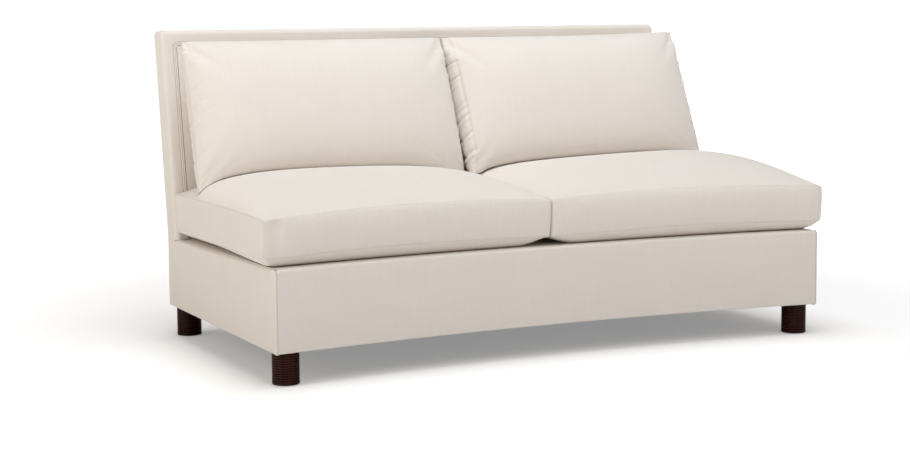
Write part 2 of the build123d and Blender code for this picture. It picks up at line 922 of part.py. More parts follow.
def make_back_cushion():
    """Cover, filling and zip of the right-hand back cushion."""
    inset = cushion_cover_thickness
    x = (back_cushion_head + cushion_gap / 2) / 2
    z = back_cushion_seat()[1] + back_zip_height
    plane = zip_plane(x, z, back_panel_clearance)
    recess, tape, slider = make_zip(plane, back_zip_length)
    fill = make_back_form(inset, zip_wall)
    outside = make_back_form(0, 0) + make_side_tips(0) + make_side_tips(1)
    return {
        "back_cushion_cover": outside - fill - recess,
        "back_cushion_fill": fill,
        "back_cushion_zip": tape,
        "back_cushion_zip_slider": slider,
    }


# ---- Build ----------------------------------------------------------------------------------------


def make_parts():
    """Every piece by its name; lists are like pieces that share a name."""
    base_form = make_base_form(cover_thickness)
    foam_form = make_panel_form(cover_thickness)
    parts = {
        "front_rail": make_front_rail(base_form),
        "side_rail_left": make_side_rail(LEFT),
        "side_rail_right": make_side_rail(RIGHT),
        "rear_rail": make_rear_rail(),
        "base_stretchers": make_stretchers(),
        "corner_blocks": make_corner_blocks(),
        "back_post_left": make_back_post(LEFT),
        "back_post_right": make_back_post(RIGHT),
        "back_top_rail": make_top_rail(),
        "back_tack_rail": make_tack_rail(),
        "back_centre_post": make_centre_post(),
        "leg_bolts": make_leg_bolts(),
        "leg_glides": make_leg_glides(),
        "seat_webbing": make_seat_webbing(),
        "seat_cross_webbing": make_cross_webbing(),
        "insulator": base_form & deck_layer(insulator_depth, upper_web_depth),
        "deck_foam": base_form & deck_layer(foam_depth, insulator_depth),
        "dust_cover": make_dust_cover(base_form),
        "back_webbing": make_back_webbing(),
        "back_cross_webbing": make_back_cross_webbing(),
        "back_foam": foam_form,
        "inside_back_cover": make_panel_form(0) - foam_form,
        "welt_batten": make_welt_batten(),
        "double_welt": make_welt(),
        "outside_back_cover": make_outside_back_cover(),
    }
    for name, centre in leg_centres().items():
        parts[f"leg_{name}"] = make_leg(centre)
    parts.update(make_base_covers())
    parts.update(make_border())
    for name, shape in {**make_seat_cushion(), **make_back_cushion()}.items():
        parts[f"{name}_right"] = shape
        parts[f"{name}_left"] = mirror(shape, Plane.YZ)
    return parts


os.makedirs("parts", exist_ok=True)
for name, shape in make_parts().items():
    piece = Compound(shape) if isinstance(shape, list) else shape.solid()
    export_step(piece, f"parts/{name}.step")
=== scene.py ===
"""Dressed model of an armless two-seat sofa in plain slubbed linen.

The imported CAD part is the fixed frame: it gives every place and size. The covers are
cut flat and laid over it, the loose cushions are sewn and filled, and the ribbed legs
are turned. All lengths are metres, with -Y to the front and +Z up.
"""
from __future__ import annotations

import json
import logging
from dataclasses import dataclass, field
from enum import Enum
from functools import partial
from math import atan2, ceil, cos, exp, hypot, pi, radians, sin, sqrt, tan
from random import Random
from typing import Callable, Sequence

import bmesh
import bpy
from mathutils import Matrix, Vector, noise
from mathutils.bvhtree import BVHTree


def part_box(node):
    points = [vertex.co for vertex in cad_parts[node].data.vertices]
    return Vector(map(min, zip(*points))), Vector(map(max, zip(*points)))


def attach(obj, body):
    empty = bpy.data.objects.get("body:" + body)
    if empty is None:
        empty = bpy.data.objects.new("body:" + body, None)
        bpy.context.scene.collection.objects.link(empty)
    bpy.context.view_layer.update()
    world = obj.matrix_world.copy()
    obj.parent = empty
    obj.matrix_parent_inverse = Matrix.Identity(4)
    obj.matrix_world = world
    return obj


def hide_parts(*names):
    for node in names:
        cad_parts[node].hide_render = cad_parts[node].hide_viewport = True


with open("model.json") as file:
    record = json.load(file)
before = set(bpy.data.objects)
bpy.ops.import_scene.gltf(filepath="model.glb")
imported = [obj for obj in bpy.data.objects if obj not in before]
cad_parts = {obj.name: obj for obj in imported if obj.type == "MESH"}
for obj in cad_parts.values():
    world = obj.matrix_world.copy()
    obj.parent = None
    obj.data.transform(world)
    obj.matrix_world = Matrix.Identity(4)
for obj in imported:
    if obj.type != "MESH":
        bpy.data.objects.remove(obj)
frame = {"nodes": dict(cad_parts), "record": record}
LOG = logging.getLogger("sofa")


class Slot(Enum):
    """Material slots of the record."""

    LINEN = "linen"
    LEG_WOOD = "leg_wood"
    FRAME_WOOD = "frame_wood"
    FOAM = "foam"
    FIBRE = "fibre"
    FELT = "felt"
    WEBBING = "webbing"
    DUST_CLOTH = "dust_cloth"
    STEEL = "steel"
    GLIDE_NYLON = "glide_nylon"
    ZIP_TAPE = "zip_tape"
    ZIP_METAL = "zip_metal"


class Side(Enum):
    """The two halves of the sofa, with the sign of their X."""

    LEFT = -1
    RIGHT = 1

    @property
    def word(self) -> str:
        """Name of the half, as the CAD nodes end in it."""
        return self.name.lower()


FRAME_BODY = "sofa_frame"


def lerp(low: float, high: float, share: float) -> float:
    """Value part of the way from low to high."""
    return low + (high - low) * share


def clamp(value: float, low: float = 0.0, high: float = 1.0) -> float:
    """Value kept between two limits."""
    return min(high, max(low, value))


def smooth(share: float) -> float:
    """Share from 0 to 1 with soft ends."""
    share = clamp(share)
    return share * share * (3 - 2 * share)


# ---- Main lines ----------------------------------------------------------------------


@dataclass(frozen=True)
class SofaForm:
    """The sofa's main lines, as the CAD part has them."""

    half_width: float = 0.850
    front_y: float = -0.5005
    rear_y: float = 0.4095
    back_foot_y: float = 0.3215
    side_seam_y: float = 0.3455
    front_sag: float = 0.063
    deck_front: float = 0.306
    deck_rear: float = 0.292
    base_bottom: float = 0.089
    top: float = 0.903
    rake: float = 0.091
    thickness_loss: float = 0.009
    squareness: float = 3.4

    @property
    def front_radius(self) -> float:
        """Radius of the curved front."""
        return (self.half_width**2 + self.front_sag**2) / (2 * self.front_sag)

    @property
    def deck_slope(self) -> float:
        """Fall of the deck towards the back."""
        return (self.deck_rear - self.deck_front) / (self.back_foot_y - self.front_y)

    @property
    def face_slope(self) -> float:
        """Lean of the back's front face."""
        return (self.rake + self.thickness_loss) / (self.top - self.deck_rear)

    def front_line(self, x: float, inset: float = 0.0) -> float:
        """Y of the curved front at x, some way inside it."""
        centre = self.front_y + self.front_sag - self.front_radius
        return centre + sqrt((self.front_radius + inset) ** 2 - x * x)

    def deck_height(self, y: float, above: float = 0.0) -> float:
        """Height of the sloping deck, or of a level parallel to it."""
        slope = self.deck_slope * (min(y, self.back_foot_y) - self.front_y)
        return self.deck_front + slope + above

    def rear_face(self, z: float) -> float:
        """Y of the rear face at a height."""
        climb = max(0.0, z - self.deck_rear)
        return self.rear_y + climb * self.rake / (self.top - self.deck_rear)

    def front_face(self, z: float) -> float:
        """Y of the back's front face at a height."""
        return self.back_foot_y + (z - self.deck_rear) * self.face_slope

    def fullness(self, share: float) -> float:
        """How full a cushion is across its width, from 0 at its sides to 1."""
        return sqrt(max(0.0, 1 - abs(2 * share - 1) ** self.squareness))


FORM = SofaForm()


class BentPath:
    """Line of straight runs with round corners, read by the length along it."""

    def __init__(self, corners: Sequence[tuple[float, float]], radii: Sequence[float]):
        """Lays out the runs and arcs.

        Args:
            corners: The corners, from one end to the other.
            radii: Radius at each inner corner.
        """
        self.pieces: list[tuple] = []
        points = [Vector(corner) for corner in corners]
        start = points[0]
        for i, radius in enumerate(radii):
            corner = points[i + 1]
            ahead = (points[i + 2] - corner).normalized()
            behind = (corner - points[i]).normalized()
            turn = behind.angle_signed(ahead) * -1
            reach = radius * tan(abs(turn) / 2)
            entry = corner - behind * reach
            self.pieces.append(("run", start, behind, (entry - start).length))
            side = 1 if turn > 0 else -1
            centre = entry + Vector((-behind.y, behind.x)) * radius * side
            spoke = entry - centre
            first = atan2(spoke.y, spoke.x)
            self.pieces.append(("arc", centre, radius, first, side, abs(turn) * radius))
            start = corner + ahead * reach
        ahead = (points[-1] - start).normalized()
        self.pieces.append(("run", start, ahead, (points[-1] - start).length))

    @property
    def length(self) -> float:
        """Whole length of the line."""
        return sum(piece[-1] for piece in self.pieces)

    def bends(self, steps: int = 5) -> list[float]:
        """Lengths at which the arcs start, end and are divided."""
        found = []
        walked = 0.0
        for piece in self.pieces:
            if piece[0] == "arc":
                found += [walked + piece[-1] * i / steps for i in range(steps + 1)]
            walked += piece[-1]
        return found

    def at(self, length: float) -> tuple[Vector, Vector]:
        """Point and left-hand normal at a length.

        Args:
            length: Distance from the start; it may run past either end.

        Returns:
            The point and the unit normal to the left of the travel.
        """
        for number, piece in enumerate(self.pieces):
            last = number == len(self.pieces) - 1
            if length > piece[-1] and not last:
                length -= piece[-1]
                continue
            if piece[0] == "run":
                return piece[1] + piece[2] * length, Vector((-piece[2].y, piece[2].x))
            angle = piece[3] + piece[4] * length / piece[2]
            spoke = Vector((cos(angle), sin(angle)))
            return piece[1] + spoke * piece[2], spoke * -piece[4]
        raise ValueError("the path has no pieces")


# ---- Shader trees --------------------------------------------------------------------


class NodeSheet:
    """Adds nodes to a shader tree and joins them."""

    def __init__(self, tree: bpy.types.NodeTree):
        """Starts with an empty tree."""
        self.tree = tree
        tree.nodes.clear()
        self.count = 0

    def add(self, kind: str, **settings: object) -> bpy.types.Node:
        """New node with its settings, placed to the right of the last one."""
        node = self.tree.nodes.new(kind)
        node.location = (self.count % 8 * 220, -(self.count // 8) * 320)
        self.count += 1
        for name, value in settings.items():
            setattr(node, name, value)
        return node

    def join(self, source: object, target: object) -> None:
        """Joins a socket to a socket, or sets a plain value on it."""
        if isinstance(source, bpy.types.NodeSocket):
            self.tree.links.new(source, target)
        else:
            target.default_value = source

    def math(self, operation: str, first: object, second: object = 0.0) -> object:
        """Output of a math node."""
        node = self.add("ShaderNodeMath", operation=operation)
        self.join(first, node.inputs[0])
        self.join(second, node.inputs[1])
        return node.outputs[0]

    def times(self, first: object, second: object) -> object:
        """Product of two values."""
        return self.math("MULTIPLY", first, second)

    def plus(self, first: object, second: object) -> object:
        """Sum of two values."""
        return self.math("ADD", first, second)

    def minus(self, first: object, second: object) -> object:
        """First value less the second."""
        return self.math("SUBTRACT", first, second)

    def stretched(self, parts: Sequence[object], across: float, along: float) -> object:
        """Vector with its first two numbers scaled."""
        u, v, w = parts
        return self.vector(self.times(u, across), self.times(v, along), w)

    def fix(self, node: bpy.types.Node, values: dict[str, object]) -> None:
        """Sets plain values on the inputs of a node."""
        for label, value in values.items():
            node.inputs[label].default_value = value

    def use(
        self, group: bpy.types.NodeTree, inputs: dict[str, object]
    ) -> bpy.types.Node:
        """Node of a group, with its inputs joined."""
        node = self.add("ShaderNodeGroup", node_tree=group)
        for label, value in inputs.items():
            self.join(value, node.inputs[label])
        return node

    def vector(self, x: object, y: object, z: object) -> object:
        """Output of a node that joins three numbers to a vector."""
        node = self.add("ShaderNodeCombineXYZ")
        for number, value in enumerate((x, y, z)):
            self.join(value, node.inputs[number])
        return node.outputs[0]

    def split(self, vector: object) -> Sequence[object]:
        """The three numbers of a vector."""
        node = self.add("ShaderNodeSeparateXYZ")
        self.join(vector, node.inputs[0])
        return node.outputs

    def noise(self, vector: object, scale: object, detail: float = 2.0) -> object:
        """Output of a noise texture, from 0 to 1."""
        node = self.add("ShaderNodeTexNoise")
        self.join(vector, node.inputs["Vector"])
        self.join(scale, node.inputs["Scale"])
        node.inputs["Detail"].default_value = detail
        return node.outputs["Fac"]

    def spread(self, value: object, low: float, high: float) -> object:
        """Output of a node that maps 0 to 1 onto low to high."""
        node = self.add("ShaderNodeMapRange", clamp=True)
        self.join(value, node.inputs["Value"])
        node.inputs["To Min"].default_value = low
        node.inputs["To Max"].default_value = high
        return node.outputs["Result"]

    def blend(self, share: object, first: object, second: object) -> object:
        """Colour between two colours."""
        node = self.add("ShaderNodeMix", data_type="RGBA", clamp_factor=True)
        self.join(share, node.inputs[0])
        self.join(first, node.inputs[6])
        self.join(second, node.inputs[7])
        return node.outputs[2]


def new_group(name: str, inputs: dict[str, float | None]) -> tuple:
    """Starts a shader node group.

    Args:
        name: Name of the group.
        inputs: Each input's first value, or None for a vector.

    Returns:
        The group, its sheet and its input node.
    """
    group = bpy.data.node_groups.new(name, "ShaderNodeTree")
    for label, value in inputs.items():
        kind = "NodeSocketVector" if value is None else "NodeSocketFloat"
        socket = group.interface.new_socket(label, in_out="INPUT", socket_type=kind)
        if value is not None:
            socket.default_value = value
    sheet = NodeSheet(group)
    return group, sheet, sheet.add("NodeGroupInput")


def close_group(group: bpy.types.NodeTree, sheet: NodeSheet, **outputs: object) -> None:
    """Gives a group its outputs."""
    kind = "NodeSocketFloat"
    for label in outputs:
        group.interface.new_socket(label, in_out="OUTPUT", socket_type=kind)
    end = sheet.add("NodeGroupOutput")
    for label, value in outputs.items():
        sheet.join(value, end.inputs[label])


class ShaderGroups:
    """The effects that more than one finish uses, each built once."""

    def __init__(self) -> None:
        """Builds the groups."""
        self.weave = self.make_weave()
        self.seam = self.make_seam()
        self.grain = self.make_grain()

    def make_weave(self) -> bpy.types.NodeTree:
        """Plain weave with thick and thin threads, for flat coordinates in metres."""
        inputs = {"Vector": None, "Pitch": 0.0009, "Slub": 0.5, "Thread": 0.3}
        group, sheet, given = new_group("plain_weave", inputs)
        u, v, w = sheet.split(given.outputs["Vector"])
        turn = sheet.math("DIVIDE", 2 * pi, given.outputs["Pitch"])
        warp = sheet.math("SINE", sheet.times(u, turn))
        weft = sheet.math("SINE", sheet.times(v, turn))
        cross = sheet.times(warp, weft)
        along = sheet.stretched((u, v, w), 140, 7)
        over = sheet.stretched((u, v, w), 7, 120)
        upright = sheet.noise(along, 1.0, 3.0)
        level = sheet.noise(over, 1.0, 3.0)
        cloud = sheet.noise(given.outputs["Vector"], 7.0, 2.0)
        streak = sheet.plus(
            sheet.times(sheet.minus(upright, 0.5), 1.5),
            sheet.times(sheet.minus(level, 0.5), 0.6),
        )
        streak = sheet.times(streak, given.outputs["Slub"])
        tone = sheet.plus(streak, sheet.times(cross, 0.08))
        tone = sheet.plus(tone, sheet.times(cloud, 0.25))
        tone = sheet.plus(tone, 0.375)
        height = sheet.times(cross, given.outputs["Thread"])
        height = sheet.plus(height, sheet.times(streak, 0.8))
        close_group(group, sheet, Tone=tone, Height=height)
        return group

    def make_seam(self) -> bpy.types.NodeTree:
        """Sewn seam: a fine line of painted shade where the seam's groove is shadowed,
        with soft puckers, from the distance to it.
        """
        inputs = {"Vector": None, "Distance": 1.0, "Width": 0.0014, "Pucker": 0.5}
        group, sheet, given = new_group("sewn_seam", inputs)
        distance = given.outputs["Distance"]
        # painted shade: darkest on the seam, fading out over its width
        near = sheet.math("DIVIDE", distance, given.outputs["Width"])
        near = sheet.math("MINIMUM", near, 1.0)
        shade = sheet.times(near, near)
        across = sheet.stretched(sheet.split(given.outputs["Vector"]), 190, 16)
        along = sheet.noise(across, 1.0, 2.0)
        fade = sheet.times(distance, 1 / 0.05)
        fade = sheet.minus(1.0, sheet.math("MINIMUM", fade, 1.0))
        ruffle = sheet.times(sheet.minus(along, 0.5), fade)
        ruffle = sheet.times(ruffle, given.outputs["Pucker"])
        height = sheet.plus(shade, ruffle)
        close_group(group, sheet, Shade=shade, Height=height)
        return group

    def make_grain(self) -> bpy.types.NodeTree:
        """Wood grain that runs along Z, for Object coordinates."""
        inputs = {"Vector": None, "Scale": 30.0, "Stretch": 0.08}
        group, sheet, given = new_group("wood_grain", inputs)
        x, y, z = sheet.split(given.outputs["Vector"])
        drawn = sheet.times(z, given.outputs["Stretch"])
        place = sheet.vector(x, y, drawn)
        broad = sheet.noise(place, given.outputs["Scale"], 3.0)
        rings = sheet.math("SINE", sheet.times(broad, 38.0))
        rings = sheet.plus(sheet.times(rings, 0.5), 0.5)
        fine = sheet.noise(place, sheet.times(given.outputs["Scale"], 22.0), 2.0)
        figure = sheet.plus(sheet.times(rings, 0.6), sheet.times(fine, 0.4))
        close_group(group, sheet, Figure=figure, Pore=fine)
        return group


@dataclass(frozen=True)
class Finish:
    """What every finish has: a name, two colours and a range of roughness."""

    name: str
    dark: tuple[float, float, float]
    light: tuple[float, float, float]
    matt: tuple[float, float] = (0.8, 0.95)

    def start(self) -> tuple[bpy.types.Material, NodeSheet, bpy.types.Node]:
        """New material with its shader joined to the output."""
        material = bpy.data.materials.new(self.name)
        material.use_nodes = True
        sheet = NodeSheet(material.node_tree)
        shader = sheet.add("ShaderNodeBsdfPrincipled")
        end = sheet.add("ShaderNodeOutputMaterial")
        sheet.join(shader.outputs[0], end.inputs[0])
        return material, sheet, shader

    def colour(self, sheet: NodeSheet, shader: bpy.types.Node, share: object) -> None:
        """Joins the colour and the roughness to a share from 0 to 1."""
        tone = sheet.blend(share, (*self.dark, 1), (*self.light, 1))
        sheet.join(tone, shader.inputs["Base Color"])
        rough = sheet.spread(share, self.matt[1], self.matt[0])
        sheet.join(rough, shader.inputs["Roughness"])

    def raise_surface(
        self, sheet: NodeSheet, shader: bpy.types.Node, height: object, depth: float
    ) -> None:
        """Joins a height to the shader's normal through a bump of some depth."""
        bump = sheet.add("ShaderNodeBump")
        bump.inputs["Strength"].default_value = 1.0
        bump.inputs["Distance"].default_value = depth
        sheet.join(height, bump.inputs["Height"])
        sheet.join(bump.outputs[0], shader.inputs["Normal"])


@dataclass(frozen=True)
class ClothFinish(Finish):
    """Woven cloth, read from the flat coordinates of its pieces."""

    pitch: float = 0.0009
    slub: float = 0.5
    thread: float = 0.3
    depth: float = 0.00025
    sheen: float = 0.15

    def make(self, groups: ShaderGroups) -> bpy.types.Material:
        """Material of the cloth."""
        material, sheet, shader = self.start()
        place = sheet.add("ShaderNodeUVMap", uv_map="cloth").outputs[0]
        threads = {"Pitch": self.pitch, "Slub": self.slub, "Thread": self.thread}
        weave = sheet.use(groups.weave, {"Vector": place, **threads})
        edge = sheet.add("ShaderNodeAttribute", attribute_name="seam")
        gathers = sheet.add("ShaderNodeAttribute", attribute_name="pucker")
        marks = {"Pucker": gathers.outputs["Fac"], "Distance": edge.outputs["Fac"]}
        seam = sheet.use(groups.seam, {"Vector": place, **marks})
        # Painted shade: the cloth's tone is darkened along its seams, standing in for
        # the shadow in their grooves.
        tone = sheet.times(seam.outputs["Shade"], 0.7)
        tone = sheet.plus(weave.outputs["Tone"], sheet.minus(tone, 0.7))
        self.colour(sheet, shader, tone)
        height = sheet.times(weave.outputs["Height"], self.depth)
        sewn = sheet.times(seam.outputs["Height"], 0.0007)
        self.raise_surface(sheet, shader, sheet.plus(height, sewn), 1.0)
        soft = {"Sheen Weight": self.sheen, "Sheen Roughness": 0.5}
        sheet.fix(shader, {**soft, "Specular IOR Level": 0.25})
        return material


@dataclass(frozen=True)
class WoodFinish(Finish):
    """Wood with its grain upright, bare or polished."""

    scale: float = 30.0
    stretch: float = 0.08
    polish: float = 0.0

    def make(self, groups: ShaderGroups) -> bpy.types.Material:
        """Material of the wood."""
        material, sheet, shader = self.start()
        place = sheet.add("ShaderNodeTexCoord").outputs["Object"]
        sizes = {"Scale": self.scale, "Stretch": self.stretch}
        grain = sheet.use(groups.grain, {"Vector": place, **sizes})
        self.colour(sheet, shader, grain.outputs["Figure"])
        self.raise_surface(sheet, shader, grain.outputs["Pore"], 0.0001)
        coat = {"Coat Weight": self.polish, "Coat Roughness": 0.12}
        sheet.fix(shader, {**coat, "Specular IOR Level": 0.16})
        return material


@dataclass(frozen=True)
class SpeckFinish(Finish):
    """Foam, felt, fibre, plastic or metal with a fine mottle."""

    scale: float = 400.0
    depth: float = 0.0003
    metal: float = 0.0

    def make(self, groups: ShaderGroups) -> bpy.types.Material:
        """Material with a fine and a broad mottle."""
        material, sheet, shader = self.start()
        place = sheet.add("ShaderNodeTexCoord").outputs["Object"]
        fine = sheet.noise(place, self.scale, 3.0)
        broad = sheet.noise(place, self.scale / 25, 2.0)
        share = sheet.times(sheet.plus(fine, broad), 0.5)
        self.colour(sheet, shader, share)
        self.raise_surface(sheet, shader, fine, self.depth)
        shader.inputs["Metallic"].default_value = self.metal
        return material


@dataclass(frozen=True)
class BandFinish(Finish):
    """Webbing or zip tape: a weave with stripes at even steps along one axis."""

    step: float = 0.02
    width: float = 0.25
    axis: int = 0
    pitch: float = 0.0014

    def make(self, groups: ShaderGroups) -> bpy.types.Material:
        """Material with stripes over a weave."""
        material, sheet, shader = self.start()
        place = sheet.add("ShaderNodeTexCoord").outputs["Object"]
        weave = sheet.use(groups.weave, {"Vector": place, "Pitch": self.pitch})
        parts = sheet.split(place)
        wave = sheet.math("MODULO", sheet.plus(parts[self.axis], 5.0), self.step)
        stripe = sheet.math("LESS_THAN", wave, self.step * self.width)
        share = sheet.times(weave.outputs["Tone"], sheet.minus(1.0, stripe))
        self.colour(sheet, shader, share)
        self.raise_surface(sheet, shader, weave.outputs["Height"], 0.0003)
        return material


FINISHES: dict[Slot, Finish] = {
    Slot.LINEN: ClothFinish(
        "linen_cover", (0.80, 0.745, 0.69), (0.92, 0.865, 0.81),
        matt=(0.82, 0.92), slub=0.24,
    ),
    Slot.LEG_WOOD: WoodFinish(
        "dark_polished_wood", (0.012, 0.003, 0.002), (0.052, 0.012, 0.008),
        matt=(0.3, 0.45), scale=34.0, stretch=0.1, polish=0.04,
    ),
    Slot.FRAME_WOOD: WoodFinish(
        "beech_frame", (0.46, 0.30, 0.17), (0.66, 0.48, 0.31),
        matt=(0.5, 0.7), scale=18.0, stretch=0.3,
    ),
    Slot.FOAM: SpeckFinish(
        "cut_foam", (0.74, 0.66, 0.44), (0.86, 0.80, 0.60),
        matt=(0.85, 0.95), scale=700.0,
    ),
    Slot.FIBRE: SpeckFinish(
        "fibre_wrap", (0.78, 0.77, 0.75), (0.92, 0.91, 0.89),
        matt=(0.9, 1.0), scale=240.0,
    ),
    Slot.FELT: SpeckFinish(
        "grey_felt", (0.22, 0.22, 0.21), (0.38, 0.37, 0.35),
        matt=(0.9, 1.0), scale=500.0,
    ),
    Slot.WEBBING: BandFinish(
        "striped_webbing", (0.08, 0.07, 0.06), (0.42, 0.34, 0.24)
    ),
    Slot.DUST_CLOTH: ClothFinish(
        "black_dust_cloth", (0.012, 0.012, 0.013), (0.045, 0.045, 0.047),
        matt=(0.85, 0.95), pitch=0.0012,
    ),
    Slot.STEEL: SpeckFinish(
        "zinc_steel", (0.42, 0.42, 0.41), (0.62, 0.62, 0.60),
        matt=(0.3, 0.5), scale=300.0, depth=0.00005, metal=1.0,
    ),
    Slot.GLIDE_NYLON: SpeckFinish(
        "glide_nylon", (0.05, 0.05, 0.05), (0.12, 0.12, 0.12),
        matt=(0.4, 0.6), scale=600.0, depth=0.0001,
    ),
    Slot.ZIP_TAPE: BandFinish(
        "zip_tape", (0.62, 0.57, 0.50), (0.78, 0.73, 0.66),
        matt=(0.75, 0.9), step=0.0016, width=0.4,
    ),
    Slot.ZIP_METAL: SpeckFinish(
        "zip_metal", (0.55, 0.54, 0.52), (0.75, 0.74, 0.72),
        matt=(0.25, 0.4), scale=500.0, depth=0.00004, metal=1.0,
    ),
}


class Workshop:
    """Holds the made materials and hands finished pieces over to the frame."""

    def __init__(self) -> None:
        """Makes a material for every slot."""
        groups = ShaderGroups()
        made = {slot: finish.make(groups) for slot, finish in FINISHES.items()}
        self.materials = made

    def hand_over(
        self, piece: bpy.types.Object, body: str, slot: Slot, nodes: Sequence[str] = ()
    ) -> None:
        """Dresses a piece and lets it ride on its body.

        Args:
            piece: The finished piece, at the origin.
            body: The CAD body that it moves with.
            slot: The record's material slot.
            nodes: The CAD nodes that it stands for.
        """
        piece.data.materials.clear()
        piece.data.materials.append(self.materials[slot])
        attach(piece, body)
        if nodes:
            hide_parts(*nodes)
        LOG.info("%s: %d faces on %s", piece.name, len(piece.data.polygons), body)

    def dress_frame(self) -> None:
        """Gives every CAD node the material of its slot."""
        by_name = {slot.value: slot for slot in Slot}
        for part in frame["record"]["subparts"]:
            slot = by_name.get(part["material_slot"])
            node = frame["nodes"].get(part["node"])
            if slot is None or node is None:
                LOG.warning("%s: no finish or no node", part["node"])
                continue
            node.data.materials.clear()
            node.data.materials.append(self.materials[slot])


def finish_mesh(
    name: str, mesh: bmesh.types.BMesh, even: bool = True
) -> bpy.types.Object:
    """Turns a bmesh into an object at the origin.

    Args:
        name: Name of the piece.
        mesh: The finished bmesh, which is freed.
        even: Whether its faces are shaded smooth.

    Returns:
        The new object, linked to the scene.
    """
    data = bpy.data.meshes.new(name)
    mesh.to_mesh(data)
    mesh.free()
    data.polygons.foreach_set("use_smooth", [even] * len(data.polygons))
    piece = bpy.data.objects.new(name, data)
    bpy.context.scene.collection.objects.link(piece)
    return piece


def settle(piece: bpy.types.Object) -> None:
    """Applies all modifiers of a piece to its mesh."""
    graph = bpy.context.evaluated_depsgraph_get()
    made = bpy.data.meshes.new_from_object(piece.evaluated_get(graph))
    piece.modifiers.clear()
    old = piece.data
    piece.data = made
    bpy.data.meshes.remove(old)


def mark(piece: bpy.types.Object, name: str, values: Sequence[float]) -> None:
    """Stores a number for each vertex, which the cloth's finish reads.

    Args:
        piece: The piece to mark.
        name: "seam" for the distance to the nearest seam, in metres, or "pucker" for
            the height of the puckers beside it, as a multiple; 0 is none.
        values: The numbers, in the order of the vertices.
    """
    layer = piece.data.attributes.new(name, "FLOAT", "POINT")
    layer.data.foreach_set("value", values)


def cut_loops(mesh: bmesh.types.BMesh, axis: int, places: Sequence[float]) -> None:
    """Adds edge loops across a mesh at some places along an axis."""
    normal = Vector((0, 0, 0))
    normal[axis] = 1
    for place in places:
        point = normal * place
        geometry = [*mesh.verts, *mesh.edges, *mesh.faces]
        bmesh.ops.bisect_plane(
            mesh, geom=geometry, dist=0.0002, plane_co=point, plane_no=normal
        )


# ---- Fitted covers -------------------------------------------------------------------


ROLL_LOOPS = (0.0008, 0.0018, 0.003, 0.006)


@dataclass
class ClothPanel:
    """Panel of cover cloth: cut flat, laid over a form, with its edges rolled in."""

    name: str
    width: float
    height: float
    place: Callable[[float, float], Vector]
    outward: tuple[float, float, float]
    cell: float = 0.03
    columns: Sequence[float] = ()
    rows: Sequence[float] = ()
    seams: str = "LRBT"
    roll: float = 0.0014
    thickness: float = 0.0028
    swell: float = 0.0012
    notch: Callable[[float, float], bool] | None = None
    notch_seam: Callable[[float, float], float] | None = None

    def seam_distance(self, u: float, v: float) -> float:
        """Distance of a flat point from the nearest sewn edge."""
        near = {"L": u, "R": self.width - u, "B": v, "T": self.height - v}
        nearest = min([near[edge] for edge in self.seams], default=1.0)
        return min(nearest, self.notch_seam(u, v)) if self.notch_seam else nearest

    def build(self) -> bpy.types.Object:
        """Cuts, lays and thickens the panel."""
        mesh = bmesh.new()
        bmesh.ops.create_grid(
            mesh,
            x_segments=max(1, ceil(self.width / self.cell)),
            y_segments=max(1, ceil(self.height / self.cell)),
            size=0.5,
        )
        to_size = Matrix.Diagonal((self.width, self.height, 1, 1))
        bmesh.ops.transform(
            mesh, matrix=to_size @ Matrix.Translation((0.5, 0.5, 0)), verts=mesh.verts
        )
        across = [*self.columns, *ROLL_LOOPS, *(self.width - d for d in ROLL_LOOPS)]
        upward = [*self.rows, *ROLL_LOOPS, *(self.height - d for d in ROLL_LOOPS)]
        cut_loops(mesh, 0, [u for u in across if 0 < u < self.width])
        cut_loops(mesh, 1, [v for v in upward if 0 < v < self.height])
        if self.notch:
            middles = {face: face.calc_center_median() for face in mesh.faces}
            away = [face for face, m in middles.items() if self.notch(m.x, m.y)]
            bmesh.ops.delete(mesh, geom=away, context="FACES")
        bmesh.ops.remove_doubles(mesh, verts=mesh.verts, dist=0.00005)
        layer = mesh.loops.layers.uv.new("cloth")
        for face in mesh.faces:
            for loop in face.loops:
                loop[layer].uv = loop.vert.co.xy
        flat = {vert: (vert.co.x, vert.co.y) for vert in mesh.verts}
        for vert, (u, v) in flat.items():
            vert.co = self.place(u, v)
        mesh.normal_update()
        facing = sum((face.normal * face.calc_area() for face in mesh.faces), Vector())
        if facing.dot(Vector(self.outward)) < 0:
            bmesh.ops.reverse_faces(mesh, faces=mesh.faces)
            mesh.normal_update()
        moved = {}
        for vert, (u, v) in flat.items():
            near = clamp(1 - self.seam_distance(u, v) / self.roll)
            inward = self.roll * (1 - sqrt(1 - near * near)) * 0.8
            full = smooth(self.seam_distance(u, v) / 0.03)
            inward -= self.swell * (1 + 0.4 * noise.noise(vert.co * 7)) * full
            moved[vert] = vert.co - vert.normal * inward
        for vert, spot in moved.items():
            vert.co = spot
        distances = [self.seam_distance(*flat[vert]) for vert in mesh.verts]
        piece = finish_mesh(self.name, mesh)
        mark(piece, "seam", distances)
        wall = piece.modifiers.new("wall", "SOLIDIFY")
        wall.thickness = self.thickness
        wall.offset = -1
        settle(piece)
        return piece


